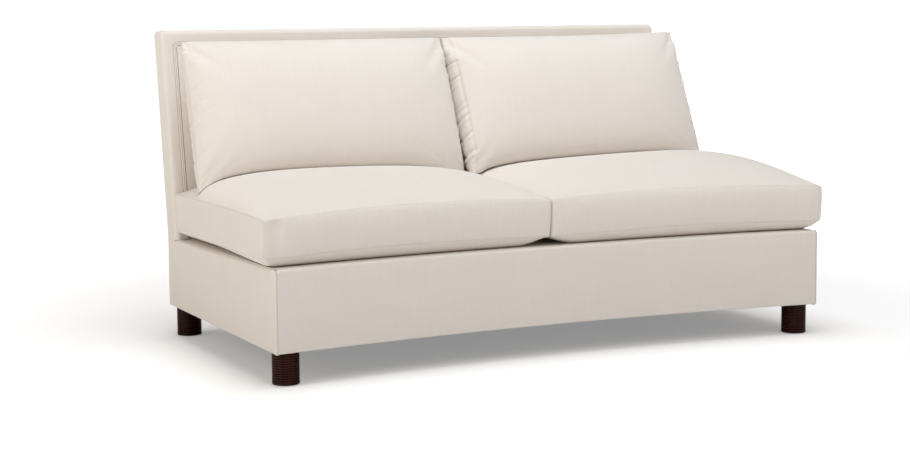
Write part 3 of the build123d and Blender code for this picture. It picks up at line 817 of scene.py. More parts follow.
@dataclass
class BaseCovers:
    """Covers of the base: front, sides, deck and the cloth underneath."""

    fold: float = 0.012
    fold_radius: float = 0.003
    rim_radius: float = 0.007
    corner_radius: float = 0.005
    side_return: float = 0.0062
    front_return: float = 0.110
    seam_roll: float = 0.0006
    hem_height: float = 0.011
    hem_rise: float = 0.0006
    foot_level: float = 0.0002

    @property
    def wall(self) -> float:
        """Height of the base's covers."""
        return FORM.deck_front - FORM.base_bottom

    @property
    def hem_rows(self) -> list[float]:
        """Loops across the step of the hem."""
        return [self.fold + self.hem_height + d for d in (-0.0015, 0, 0.0015)]

    def profile(self, reach: float) -> BentPath:
        """Section of a cover: folded under, up the face and back over the deck."""
        corners = [(-self.fold, 0), (0, 0), (0, self.wall), (-reach, self.wall)]
        return BentPath(corners, (self.fold_radius, self.rim_radius))

    def raised(self, up: float, y: float) -> float:
        """Height of a point of a section, tilted with the deck.

        Args:
            up: Height above the bottom edge, level.
            y: Place from front to rear.

        Returns:
            The height above the floor.
        """
        tilt = FORM.deck_height(y) - FORM.deck_front
        return FORM.base_bottom + self.foot_level + up + tilt * up / self.wall

    def hem(self, v: float) -> float:
        """How far the doubled hem stands out, some way up the cover."""
        over = v - self.fold - self.hem_height
        return self.hem_rise * smooth(0.5 - over / 0.003)

    def front(self) -> bpy.types.Object:
        """Front cover, between the corner seams."""
        section = self.profile(self.front_return)
        half = FORM.half_width - self.side_return

        def place(u: float, v: float) -> Vector:
            """Point of the front cover."""
            x = u - half
            (out, up), (nx, ny) = section.at(v)
            lift = self.hem(v)
            out, up = out - nx * lift, up - ny * lift
            y = FORM.front_line(x, -out)
            return Vector((x, y, self.raised(up, y)))

        panel = ClothPanel(
            "base_front_cover", 2 * half, section.length, place, (0, -1, 0.3),
            rows=[*section.bends(), *self.hem_rows], roll=self.seam_roll,
        )
        return panel.build()

    def side(self, side: Side) -> bpy.types.Object:
        """Side cover, from the front corner seam to the seam near the rear."""
        section = self.profile(self.side_return)
        start_x = FORM.half_width - 0.05
        plan = BentPath(
            [
                (start_x, FORM.front_line(start_x)),
                (FORM.half_width, FORM.front_line(FORM.half_width)),
                (FORM.half_width, FORM.side_seam_y),
            ],
            (self.corner_radius,),
        )
        skip = (0.05 - self.side_return) / cos(0.148)
        length = plan.length - skip

        def place(u: float, v: float) -> Vector:
            """Point of a side cover."""
            spot, inward = plan.at(u + skip)
            (out, up), (nx, ny) = section.at(v)
            lift = self.hem(v)
            out, up = out - nx * lift, up - ny * lift
            spot = spot - inward * out
            return Vector((side.value * spot.x, spot.y, self.raised(up, spot.y)))

        panel = ClothPanel(
            f"base_side_cover_{side.word}", length, section.length, place,
            (side.value, -0.1, 0.05),
            columns=[bend - skip for bend in plan.bends()],
            rows=[*section.bends(), *self.hem_rows], roll=self.seam_roll,
        )
        return panel.build()

    def deck(self) -> bpy.types.Object:
        """Deck cloth, from the front cover's return to the foot of the back."""
        half = FORM.half_width - self.side_return

        def place(u: float, v: float) -> Vector:
            """Point of the deck cloth."""
            x = u - half
            low = FORM.front_line(x, self.front_return)
            y = lerp(low, FORM.back_foot_y + 0.003, v / 0.66)
            return Vector((x, y, FORM.deck_height(y, self.foot_level)))

        panel = ClothPanel("deck_cloth", 2 * half, 0.66, place, (0, 0, 1), cell=0.05)
        return panel.build()

    def dust_sheet(self) -> bpy.types.Object:
        """Black cloth stretched under the frame."""
        half = FORM.half_width - 0.004
        depth = FORM.rear_y - FORM.front_y

        def place(u: float, v: float) -> Vector:
            """Point of the dust cloth."""
            x = u - half
            low = FORM.front_line(x, 0.005)
            y = lerp(low, FORM.rear_y - 0.004, v / depth)
            return Vector((x, y, FORM.base_bottom + 0.0012))

        panel = ClothPanel(
            "under_dust_cloth", 2 * half, depth, place, (0, 0, -1), cell=0.07,
            seams="", thickness=0.0008, swell=0.0,
        )
        return panel.build()

    def make(self, shop: Workshop) -> None:
        """Builds and hands over all covers of the base."""
        shop.hand_over(self.front(), FRAME_BODY, Slot.LINEN, ["front_cover"])
        for side in Side:
            nodes = [f"side_cover_{side.word}"]
            shop.hand_over(self.side(side), FRAME_BODY, Slot.LINEN, nodes)
        nodes = ["deck_cover", "deck_foam"]
        shop.hand_over(self.deck(), FRAME_BODY, Slot.LINEN, nodes)
        shop.hand_over(self.dust_sheet(), FRAME_BODY, Slot.DUST_CLOTH, ["dust_cover"])


@dataclass
class BackCovers:
    """Covers of the back: border band, inside, outside and the double welt."""

    band: float = 0.032
    edge_radius: float = 0.012
    corner_radius: float = 0.014
    recess: float = 0.001
    opening_radius: float = 0.0179
    welt_radius: float = 0.00262
    welt_pitch: float = 0.0053
    welt_recess: float = -0.0014
    welt_corner: float = 0.010
    panel_inset: float = 0.0426
    panel_radius: float = 0.005

    def depth(self, z: float) -> float:
        """Thickness of the back at a height, behind the border's face."""
        return FORM.rear_face(z) - FORM.front_face(z) - self.recess

    def face_y(self, behind: float, z: float) -> float:
        """Y of a point of the border, from how far it lies behind its face.

        Args:
            behind: Distance behind the face, at the foot of the back.
            z: Height of the point.

        Returns:
            The Y, with the back's taper taken in.
        """
        if behind > self.edge_radius:
            whole = self.depth(FORM.deck_rear)
            share = (behind - self.edge_radius) / (whole - self.edge_radius)
            behind = lerp(self.edge_radius, self.depth(z), share)
        return FORM.front_face(z) + self.recess + behind

    def section(self) -> BentPath:
        """Section of the band, from the rear edge round to the welt."""
        depth = self.depth(FORM.deck_rear)
        return BentPath([(0, depth), (0, 0), (self.band, 0)], (self.edge_radius,))

    def round_corner(self, inset: float, drop: float) -> tuple[float, float]:
        """Rounds the outer corner of the back.

        Args:
            inset: Distance inside the side.
            drop: Distance below the top.

        Returns:
            The two distances after the corner is rounded.
        """
        across = clamp(1 - inset / self.corner_radius)
        upward = clamp(1 - drop / self.corner_radius)
        if across <= 0 or upward <= 0:
            return inset, drop
        pull = max(across, upward) / hypot(across, upward)
        return (
            inset + across * (1 - pull) * self.corner_radius,
            drop + upward * (1 - pull) * self.corner_radius,
        )

    def round_opening(self, inset: float, drop: float) -> tuple[float, float]:
        """Rounds the band's inner corner, beside the mitre.

        Args:
            inset: Distance inside the band's outer edge.
            drop: Distance along the band from the corner of the back.

        Returns:
            The two distances after the inner corner is rounded.
        """
        near = clamp(1 - (drop - inset) / self.opening_radius)
        weight = clamp(inset / self.band) ** 2 * self.opening_radius
        turn = near * pi / 4
        return inset + weight * (1 - cos(turn)), drop + weight * (near - sin(turn))

    def side(self, side: Side) -> bpy.types.Object:
        """Boxing of one side: front band, edge and side down to the base's bottom."""
        section = self.section()
        strip = FORM.rear_y - FORM.side_seam_y
        full = FORM.top - FORM.base_bottom

        def place(u: float, v: float) -> Vector:
            """Point of a side boxing."""
            (inset, behind), _ = section.at(u)
            z = FORM.base_bottom + v - inset * smooth((v - 0.6) / 0.2)
            if z < FORM.deck_rear:
                y = FORM.rear_y - u
                return Vector((side.value * FORM.half_width, y, z))
            inset, drop = self.round_opening(*self.round_corner(inset, FORM.top - z))
            z = FORM.top - drop
            x = side.value * (FORM.half_width - inset)
            return Vector((x, self.face_y(behind, z), z))

        knee = FORM.deck_rear - FORM.base_bottom
        corner = [full - self.opening_radius * i / 6 for i in range(1, 7)]
        panel = ClothPanel(
            f"back_boxing_{side.word}", section.length, full, place,
            (side.value, -0.2, 0),
            columns=[*section.bends(), strip, *(strip - d for d in ROLL_LOOPS)],
            rows=[knee + 0.0002, *corner],
            notch=lambda u, v: u > strip and v < knee,
            notch_seam=lambda u, v: strip - u if v < knee and u <= strip else 1.0,
            seams="LRB",
        )
        return panel.build()

    def head(self) -> bpy.types.Object:
        """Boxing along the top of the back, between the mitres."""
        section = self.section()
        half = FORM.half_width

        def place(u: float, v: float) -> Vector:
            """Point of the top boxing."""
            (drop, behind), _ = section.at(v)
            share = u / half - 1
            x = share * (half - drop)
            inset, drop = self.round_corner(half - abs(x), drop)
            drop, inset = self.round_opening(drop, inset)
            z = FORM.top - drop
            x = (half - inset) * (1 if share > 0 else -1)
            return Vector((x, self.face_y(behind, z), z))

        ends = [self.opening_radius * i / 6 for i in range(1, 7)]
        panel = ClothPanel(
            "back_boxing_top", 2 * half, section.length, place, (0, -0.3, 1),
            columns=[half, *ends, *(2 * half - end for end in ends)],
            rows=section.bends(),
            seams="BT",
        )
        return panel.build()

    def inside(self) -> bpy.types.Object:
        """Plain panel of the inside back, within the welt."""
        half = FORM.half_width - self.panel_inset
        high = FORM.top - self.panel_inset
        low = FORM.deck_rear - 0.002

        def place(u: float, v: float) -> Vector:
            """Point of the inside back."""
            x, z = u - half, low + v
            near = min(half - abs(x), high - z)
            dip = clamp(1 - near / self.panel_radius)
            behind = self.panel_radius * (1 - sqrt(1 - dip * dip))
            return Vector((x, FORM.front_face(z) + 0.0002 + behind * 0.3, z))

        loops = [self.panel_radius * i / 5 for i in range(1, 6)]
        panel = ClothPanel(
            "inside_back_panel", 2 * half, high - low, place, (0, -1, 0.1),
            columns=[*loops, *(2 * half - loop for loop in loops)],
            rows=[high - low - loop for loop in loops],
            seams="LRT",
        )
        return panel.build()

    def outside(self) -> bpy.types.Object:
        """Plain panel of the outside back, from the top to the base's bottom."""
        half = FORM.half_width - 0.0028
        low, high = FORM.base_bottom + 0.0003, FORM.top - 0.0028

        def place(u: float, v: float) -> Vector:
            """Point of the outside back."""
            z = low + v
            return Vector((u - half, FORM.rear_face(z) - 0.0003, z))

        knee = FORM.deck_rear - low
        panel = ClothPanel(
            "outside_back_panel", 2 * half, high - low, place, (0, 1, -0.1),
            rows=[knee, knee - 0.004, knee + 0.004],
        )
        return panel.build()

    def cord_path(self, row: int) -> BentPath:
        """Line of one cord, seen from the front: up, across and down.

        Args:
            row: 0 for the outer cord and 1 for the inner one.

        Returns:
            The line, in X and Z.
        """
        inset = self.band + self.welt_pitch * (row + 0.5)
        x, high = FORM.half_width - inset, FORM.top - inset
        low = FORM.deck_rear + 0.001
        corner = self.welt_corner + (1 - row) * self.welt_pitch
        return BentPath([(-x, low), (-x, high), (x, high), (x, low)], (corner, corner))

    def cord(self, mesh: bmesh.types.BMesh, row: int, sides: int = 12) -> None:
        """Adds one covered cord, extruded ring by ring along its line.

        Args:
            mesh: The mesh to add to, with its "turn" and "along" layers.
            row: 0 for the outer cord and 1 for the inner one.
            sides: Number of sides of its section.
        """
        turn = mesh.verts.layers.float["turn"]
        along = mesh.verts.layers.float["along"]
        path = self.cord_path(row)
        steps = sorted({0.0, path.length, *path.bends(6)})
        marks: list[float] = []
        for start, end in zip(steps, steps[1:]):
            count = max(1, ceil((end - start) / 0.03))
            marks += [lerp(start, end, i / count) for i in range(count)]
        marks.append(path.length)
        made = bmesh.ops.create_circle(mesh, segments=sides, radius=self.welt_radius)
        ring = made["verts"]
        for vert in ring:
            vert[turn] = atan2(vert.co.y, vert.co.x) / (2 * pi)
        edges = list(dict.fromkeys(edge for vert in ring for edge in vert.link_edges))
        first = edges
        for number, mark in enumerate(marks):
            if number:
                grown = bmesh.ops.extrude_edge_only(mesh, edges=edges)["geom"]
                ring = [item for item in grown if isinstance(item, bmesh.types.BMVert)]
                inside = set(ring)
                grown = [item for item in grown if isinstance(item, bmesh.types.BMEdge)]
                edges = [item for item in grown if inside.issuperset(item.verts)]
            (x, z), (nx, nz) = path.at(mark)
            for vert in ring:
                angle = vert[turn] * 2 * pi
                reach = cos(angle) * self.welt_radius
                vert[along] = mark
                side_z = z + nz * reach
                y = FORM.front_face(side_z) + self.welt_recess
                y += self.welt_radius * (1 - sin(angle))
                vert.co = (x + nx * reach, y, side_z)
        bmesh.ops.holes_fill(mesh, edges=[*first, *edges], sides=0)

    def welt(self) -> bpy.types.Object:
        """Two covered cords side by side, with their cloth cut on the bias."""
        mesh = bmesh.new()
        turn = mesh.verts.layers.float.new("turn")
        along = mesh.verts.layers.float.new("along")
        for row in (0, 1):
            self.cord(mesh, row)
        girth = 2 * pi * self.welt_radius
        layer = mesh.loops.layers.uv.new("cloth")
        for face in mesh.faces:
            turns = [loop.vert[turn] for loop in face.loops]
            over = max(turns) - min(turns) > 0.5
            for loop in face.loops:
                share = loop.vert[turn]
                around = (share + 1 if over and share < 0 else share) * girth
                loop[layer].uv = (around + loop.vert[along], loop.vert[along] - around)
        bmesh.ops.recalc_face_normals(mesh, faces=mesh.faces)
        cords = finish_mesh("double_welt_cords", mesh)
        mark(cords, "seam", [1.0] * len(cords.data.vertices))
        return cords

    def make(self, shop: Workshop) -> None:
        """Builds and hands over all covers of the back."""
        for side in Side:
            nodes = [f"back_border_{side.word}"]
            shop.hand_over(self.side(side), FRAME_BODY, Slot.LINEN, nodes)
        shop.hand_over(self.head(), FRAME_BODY, Slot.LINEN, ["back_border_top"])
        nodes = ["inside_back_cover", "back_foam"]
        shop.hand_over(self.inside(), FRAME_BODY, Slot.LINEN, nodes)
        shop.hand_over(self.outside(), FRAME_BODY, Slot.LINEN, ["outside_back_cover"])
        shop.hand_over(self.welt(), FRAME_BODY, Slot.LINEN, ["double_welt"])


# ---- Loose cushions ------------------------------------------------------------------


FILL_FRAMES = 20
CLOTH_SETTINGS: dict[str, float | bool] = {
    "quality": 6,
    "mass": 0.25,
    "tension_stiffness": 25,
    "compression_stiffness": 25,
    "shear_stiffness": 12,
    "bending_stiffness": 0.8,
    "air_damping": 3.0,
    "pin_stiffness": 1.0,
    "use_pressure": True,
}


@dataclass
class SewnCushion:
    """What both kinds of cushion share: the box mesh, the filling and the finish."""

    clear: float = 0.0005
    crispness: float = 0.3
    slack: float = 0.001
    large_panels: float = 0.4

    def box_mesh(self, cells: tuple[int, int, int], crease: float) -> bmesh.types.BMesh:
        """Unit box divided along each axis, with its edges held crisp.

        Args:
            cells: Divisions along X, Y and Z.
            crease: How crisp the sewn edges stay, from 0 to 1.

        Returns:
            The box, from 0 to 1 on each axis.
        """
        mesh = bmesh.new()
        bmesh.ops.create_cube(mesh, size=1.0)
        bmesh.ops.translate(mesh, verts=mesh.verts, vec=(0.5, 0.5, 0.5))
        for axis, count in enumerate(cells):
            cut_loops(mesh, axis, [i / count for i in range(1, count)])
        layer = mesh.edges.layers.float.new("crease_edge")
        for edge in mesh.edges:
            if all(self.on_seam(vert.co) for vert in edge.verts):
                edge[layer] = crease
        return mesh

    def lay_out(
        self, name: str, mesh: bmesh.types.BMesh, place: Callable, sign: int
    ) -> bpy.types.Object:
        """Moves a unit box to its sewn shape and makes it an object.

        Args:
            name: Name of the piece.
            mesh: The unit box.
            place: Gives the place of a point of the box, for the right-hand half.
            sign: Sign of X on this half.

        Returns:
            The sewn cushion, with its "unit" attribute.
        """
        unit = mesh.verts.layers.float_vector.new("unit")
        for vert in mesh.verts:
            vert[unit] = vert.co
            spot = place(*vert.co)
            vert.co = (sign * spot.x, spot.y, spot.z)
        mesh.normal_update()
        bmesh.ops.recalc_face_normals(mesh, faces=mesh.faces)
        return finish_mesh(name, mesh)

    def refine(self, piece: bpy.types.Object) -> None:
        """Divides a cushion's faces once, smoothly."""
        even = piece.modifiers.new("even", "SUBSURF")
        even.levels = even.render_levels = 1
        settle(piece)

    def on_seam(self, unit: Vector) -> bool:
        """Whether a place in the unit box lies on one of its sewn edges."""
        return sum(min(value, 1 - value) < 0.0005 for value in unit) > 1

    def fill(
        self,
        piece: bpy.types.Object,
        held: Callable[[Vector], float],
        cap: float,
        pressure: float,
        slack: float,
    ) -> None:
        """Blows a cushion up against its seams with a short cloth simulation.

        Args:
            piece: The sewn cushion, in its fitted shape.
            held: How firmly each vertex is held, from its place in the unit box.
            cap: The most that a point may move; all moves are scaled to it.
            pressure: Pressure inside the cover.
            slack: Extra cloth, as a share of its length.
        """
        unit = piece.data.attributes["unit"].data
        weights = [held(Vector(item.vector)) for item in unit]
        group = piece.vertex_groups.new(name="seams")
        for index, weight in enumerate(weights):
            if weight > 0:
                group.add([index], weight, "REPLACE")
        start = [vert.co.copy() for vert in piece.data.vertices]
        cloth = piece.modifiers.new("filling", "CLOTH")
        settings = cloth.settings
        for name, value in CLOTH_SETTINGS.items():
            setattr(settings, name, value)
        settings.vertex_group_mass = group.name
        settings.uniform_pressure_force = pressure
        settings.shrink_min = -slack
        settings.effector_weights.gravity = 0.0
        cloth.collision_settings.use_collision = False
        cloth.point_cache.frame_start = 1
        cloth.point_cache.frame_end = FILL_FRAMES
        scene = bpy.context.scene
        for number in range(1, FILL_FRAMES + 1):
            scene.frame_set(number)
        settle(piece)
        scene.frame_set(1)
        moved = zip(piece.data.vertices, start)
        most = max((vert.co - old).length for vert, old in moved)
        LOG.info("%s: filled, moves to %.1f mm", piece.name, most * 1000)
        share = min(1.0, cap / most) if most > 0 else 0.0
        for vert, old in zip(piece.data.vertices, start):
            vert.co = old.lerp(vert.co, share)

    def sew(
        self, piece: bpy.types.Object, size: tuple[float, float, float], gathered: float
    ) -> None:
        """Marks the distance to the seams and how much the cloth is gathered.

        Args:
            piece: The filled cushion.
            size: Lengths of its edges along each axis of the unit box.
            gathered: Strength of the puckers on the panels round its edge. The two
                large panels have less.
        """
        distances, gathers = [], []
        for item in piece.data.attributes["unit"].data:
            spans = [min(v, 1 - v) * long for v, long in zip(item.vector, size)]
            distances.append(max(0.0, sorted(spans)[1]))
            flat = min(item.vector[2], 1 - item.vector[2]) < 0.003
            gathers.append(gathered * (self.large_panels if flat else 1.0))
        mark(piece, "seam", distances)
        mark(piece, "pucker", gathers)


@dataclass(frozen=True)
class Crown:
    """What differs between the two seat cushions' tops and fronts.

    Attributes:
        outer_seam: Height of the front's top seam over the deck, at the outer side.
        front_bell: How much that seam arches between its ends.
        rise: Height of the crown over the seams.
        taper: Share of the rise that is lost at the inner side.
        taper_power: Power of the share across by which it is lost.
        outer_square: How square the outer half of the crown is; 2 is round.
        lean: How far the front's lower edge lies behind its upper one.
    """

    outer_seam: float
    front_bell: float
    rise: float
    taper: float
    taper_power: int
    outer_square: float
    lean: float


CROWNS = {
    Side.LEFT: Crown(
        outer_seam=0.129,
        front_bell=0.016,
        rise=0.078,
        taper=0.22,
        taper_power=2,
        outer_square=4.5,
        lean=0.010,
    ),
    Side.RIGHT: Crown(
        outer_seam=0.134,
        front_bell=0.013,
        rise=0.086,
        taper=0.30,
        taper_power=1,
        outer_square=7.0,
        lean=0.005,
    ),
}


@dataclass
class SeatCushion(SewnCushion):
    """Boxed seat cushion, with a crowned top and seams round its front and sides.

    The fields whose names start with solid are those of the CAD part's plainer top
    panel, from which the back cushion takes its place.
    """

    half_gap: float = 0.001
    setback: float = 0.019
    front_overhang: float = 0.020
    right_overhang: float = 0.006
    rear_overhang: float = -0.002
    rear_gap: float = 0.001
    inner_seam: float = 0.134
    rear_seam: float = 0.137
    inner_square: float = 4.5
    solid_seam: float = 0.134
    solid_corner_drop: float = 0.008
    solid_side_crown: float = 0.022
    solid_extra_crown: float = 0.068
    puff: float = 0.004
    pressure: float = 3.0
    gathers: float = 3.2
    front_roll: float = 0.003
    cells: tuple[int, int, int] = (76, 72, 11)

    def outer(self, side: Side, y: float) -> float:
        """Distance of the outer side from the middle of the sofa."""
        share = (y - FORM.front_y) / (FORM.back_foot_y - FORM.front_y)
        front = self.front_overhang + (self.right_overhang if side is Side.RIGHT else 0)
        return FORM.half_width + lerp(front, self.rear_overhang, share)

    def crown(self, side: Side, across: float, along: float) -> float:
        """Height of the top panel above the deck.

        Args:
            side: The half of the sofa.
            across: Share from the outer side to the inner side.
            along: Share from the front to the rear.

        Returns:
            The height, in metres.
        """
        shape = CROWNS[side]
        bell = sin(pi * clamp(across)) ** 0.8
        front = lerp(shape.outer_seam, self.inner_seam, across)
        front += shape.front_bell * bell
        seam = lerp(front, self.rear_seam, along)
        square = shape.outer_square if across < 0.5 else self.inner_square
        full = sqrt(max(0.0, 1 - abs(2 * across - 1) ** square))
        taper = 1 - shape.taper * across**shape.taper_power
        rise = shape.rise * full * taper
        return seam + rise * (1 - abs(2 * along - 1) ** 2.2)

    def top(self, side: Side, x: float, y: float) -> float:
        """Height of the filled cushion above the floor, at a place on the sofa."""
        outer, x = self.outer(side, y), abs(x)
        across = clamp((outer - x) / (outer - self.half_gap))
        front = FORM.front_line(min(x, FORM.half_width), self.setback)
        rear = FORM.front_face(FORM.deck_rear + self.rear_seam) - self.rear_gap
        along = clamp((y - front) / (rear - front))
        near = min(across * 0.85, (1 - across) * 0.85, along * 0.8, (1 - along) * 0.8)
        filled = self.puff * smooth(near / 0.08)
        return FORM.deck_height(y, self.crown(side, across, along) + filled)

    def under(self, across: float, along: float) -> float:
        """Height of the underside above the deck."""
        bell = sin(pi * clamp(across))
        seam = lerp(0.027, 0.025, along) + 0.010 * bell * (1 - along / 2)
        width, depth = 0.85, 0.80

        def plump(distance: float, reach: float) -> float:
            """Rise of a full, round underside near a seam."""
            near = clamp(1 - distance / reach)
            return 1 - sqrt(1 - near * near)

        front = plump(along * depth, 0.055)
        rear = plump((1 - along) * depth, 0.06)
        lifted = smooth(along * 1.6)
        outer = lerp(
            plump(across * width, 0.045), clamp(1 - across * width / 0.10) ** 2, lifted
        )
        inner = clamp(1 - (1 - across) * width / 0.085) ** 1.6
        rise = 1 - (1 - front) * (1 - rear) * (1 - outer) * (1 - inner)
        return self.clear + (seam - self.clear) * rise

    def point(self, side: Side, across: float, along: float, up: float) -> Vector:
        """Point of the sewn cushion, for the right-hand half.

        Args:
            side: The half of the sofa.
            across: Share from the outer side to the inner side.
            along: Share from the front to the rear.
            up: Share from the underside to the top.

        Returns:
            The point in the sofa's frame.
        """
        full = FORM.fullness(across)
        belly = 1 - abs(2 * up - 1) ** 3
        x = lerp(self.outer(side, FORM.front_y), self.half_gap, across)
        front = FORM.front_line(min(x, FORM.half_width), self.setback)
        front -= (0.003 + 0.009 * full) * belly
        front += CROWNS[side].lean * (1 - up) - 0.002
        if side is Side.LEFT:
            front += self.dimple(across, up)
        level = lerp(self.under(across, along), self.crown(side, across, along), up)
        rear_z = FORM.deck_rear + level
        y = lerp(front, FORM.front_face(rear_z) - self.rear_gap, along)
        outer = self.outer(side, y) + 0.004 * belly * sin(pi * clamp(along))
        x = lerp(outer, self.half_gap, across)
        rolled = self.front_roll * self.near_front(along, up) ** 1.6
        return Vector((x, y + rolled, FORM.deck_height(y, level) - rolled))

    def dimple(self, across: float, up: float) -> float:
        """How far the front is drawn in beside its outer corner."""
        hollow = exp(-(((across - 0.034) / 0.019) ** 2))
        high = exp(-(((up - 0.80) / 0.20) ** 2))
        return hollow * smooth((1 - up) / 0.10) * (0.005 + 0.008 * high)

    def near_front(self, along: float, up: float) -> float:
        """How near a place is to the top seam of the front, from 0 to 1."""
        return clamp(1 - along * 0.8 / 0.04) * clamp(1 - (1 - up) * 0.11 / 0.04)

    def held(self, unit: Vector) -> float:
        """How firmly the filling holds a place: seams and underside hardly move."""
        edge = sorted(min(value, 1 - value) for value in unit)
        if edge[1] < 0.004 or unit.z < 0.01:
            return 1.0
        if unit.y > 0.99 or unit.x > 0.99:
            return 0.9
        return 0.0

    def make(self, shop: Workshop, side: Side) -> bpy.types.Object:
        """Sews, fills and hands over one seat cushion, and returns it."""
        mesh = self.box_mesh(self.cells, self.crispness)
        layer = mesh.loops.layers.uv.new("cloth")
        for face in mesh.faces:
            middle = face.calc_center_median()
            for loop in face.loops:
                a, b, c = loop.vert.co
                if min(middle.z, 1 - middle.z) < 0.0001:
                    loop[layer].uv = (a * 0.85, b * 0.80)
                elif min(middle.y, 1 - middle.y) < 0.0001:
                    loop[layer].uv = (a * 0.85 + 0.3, c * 0.12 + 0.7)
                else:
                    loop[layer].uv = (b * 0.80 + 0.5, c * 0.12 + 0.4)
        name = f"seat_cushion_{side.word}"
        piece = self.lay_out(name, mesh, partial(self.point, side), side.value)
        self.fill(piece, self.held, self.puff, self.pressure, self.slack)
        self.tuck(piece, side)
        self.refine(piece)
        self.sew(piece, (0.85, 0.80, 0.11), self.gathers)
        self.tuck(piece, side)
        parts = ("cover", "wrap", "core")
        nodes = [f"seat_cushion_{part}_{side.word}" for part in parts]
        shop.hand_over(piece, name, Slot.LINEN, nodes)
        return piece

    def tuck(self, piece: bpy.types.Object, side: Side) -> None:
        """Keeps a cushion clear of the deck, the back and the other cushion."""
        for vert in piece.data.vertices:
            x, y, z = vert.co
            z = max(z, FORM.deck_height(y, self.clear))
            y = min(y, FORM.front_face(z) - self.clear)
            x = side.value * max(side.value * x, self.half_gap - 0.0004)
            vert.co = (x, y, z)


@dataclass(frozen=True)
class Pleat:
    """One gather beside a side seam of a back cushion."""

    height: float
    reach: float
    depth: float
    width: float
    drift: float


MAIN_FOLDS: dict[tuple[Side, bool], tuple[float, ...]] = {
    (Side.LEFT, False): (0.66, 0.55, 0.465, 0.36, 0.22),
    (Side.LEFT, True): (0.72, 0.52, 0.33),
    (Side.RIGHT, True): (0.80, 0.68, 0.50, 0.40, 0.285, 0.17),
    (Side.RIGHT, False): (0.76, 0.60, 0.41, 0.24),
}


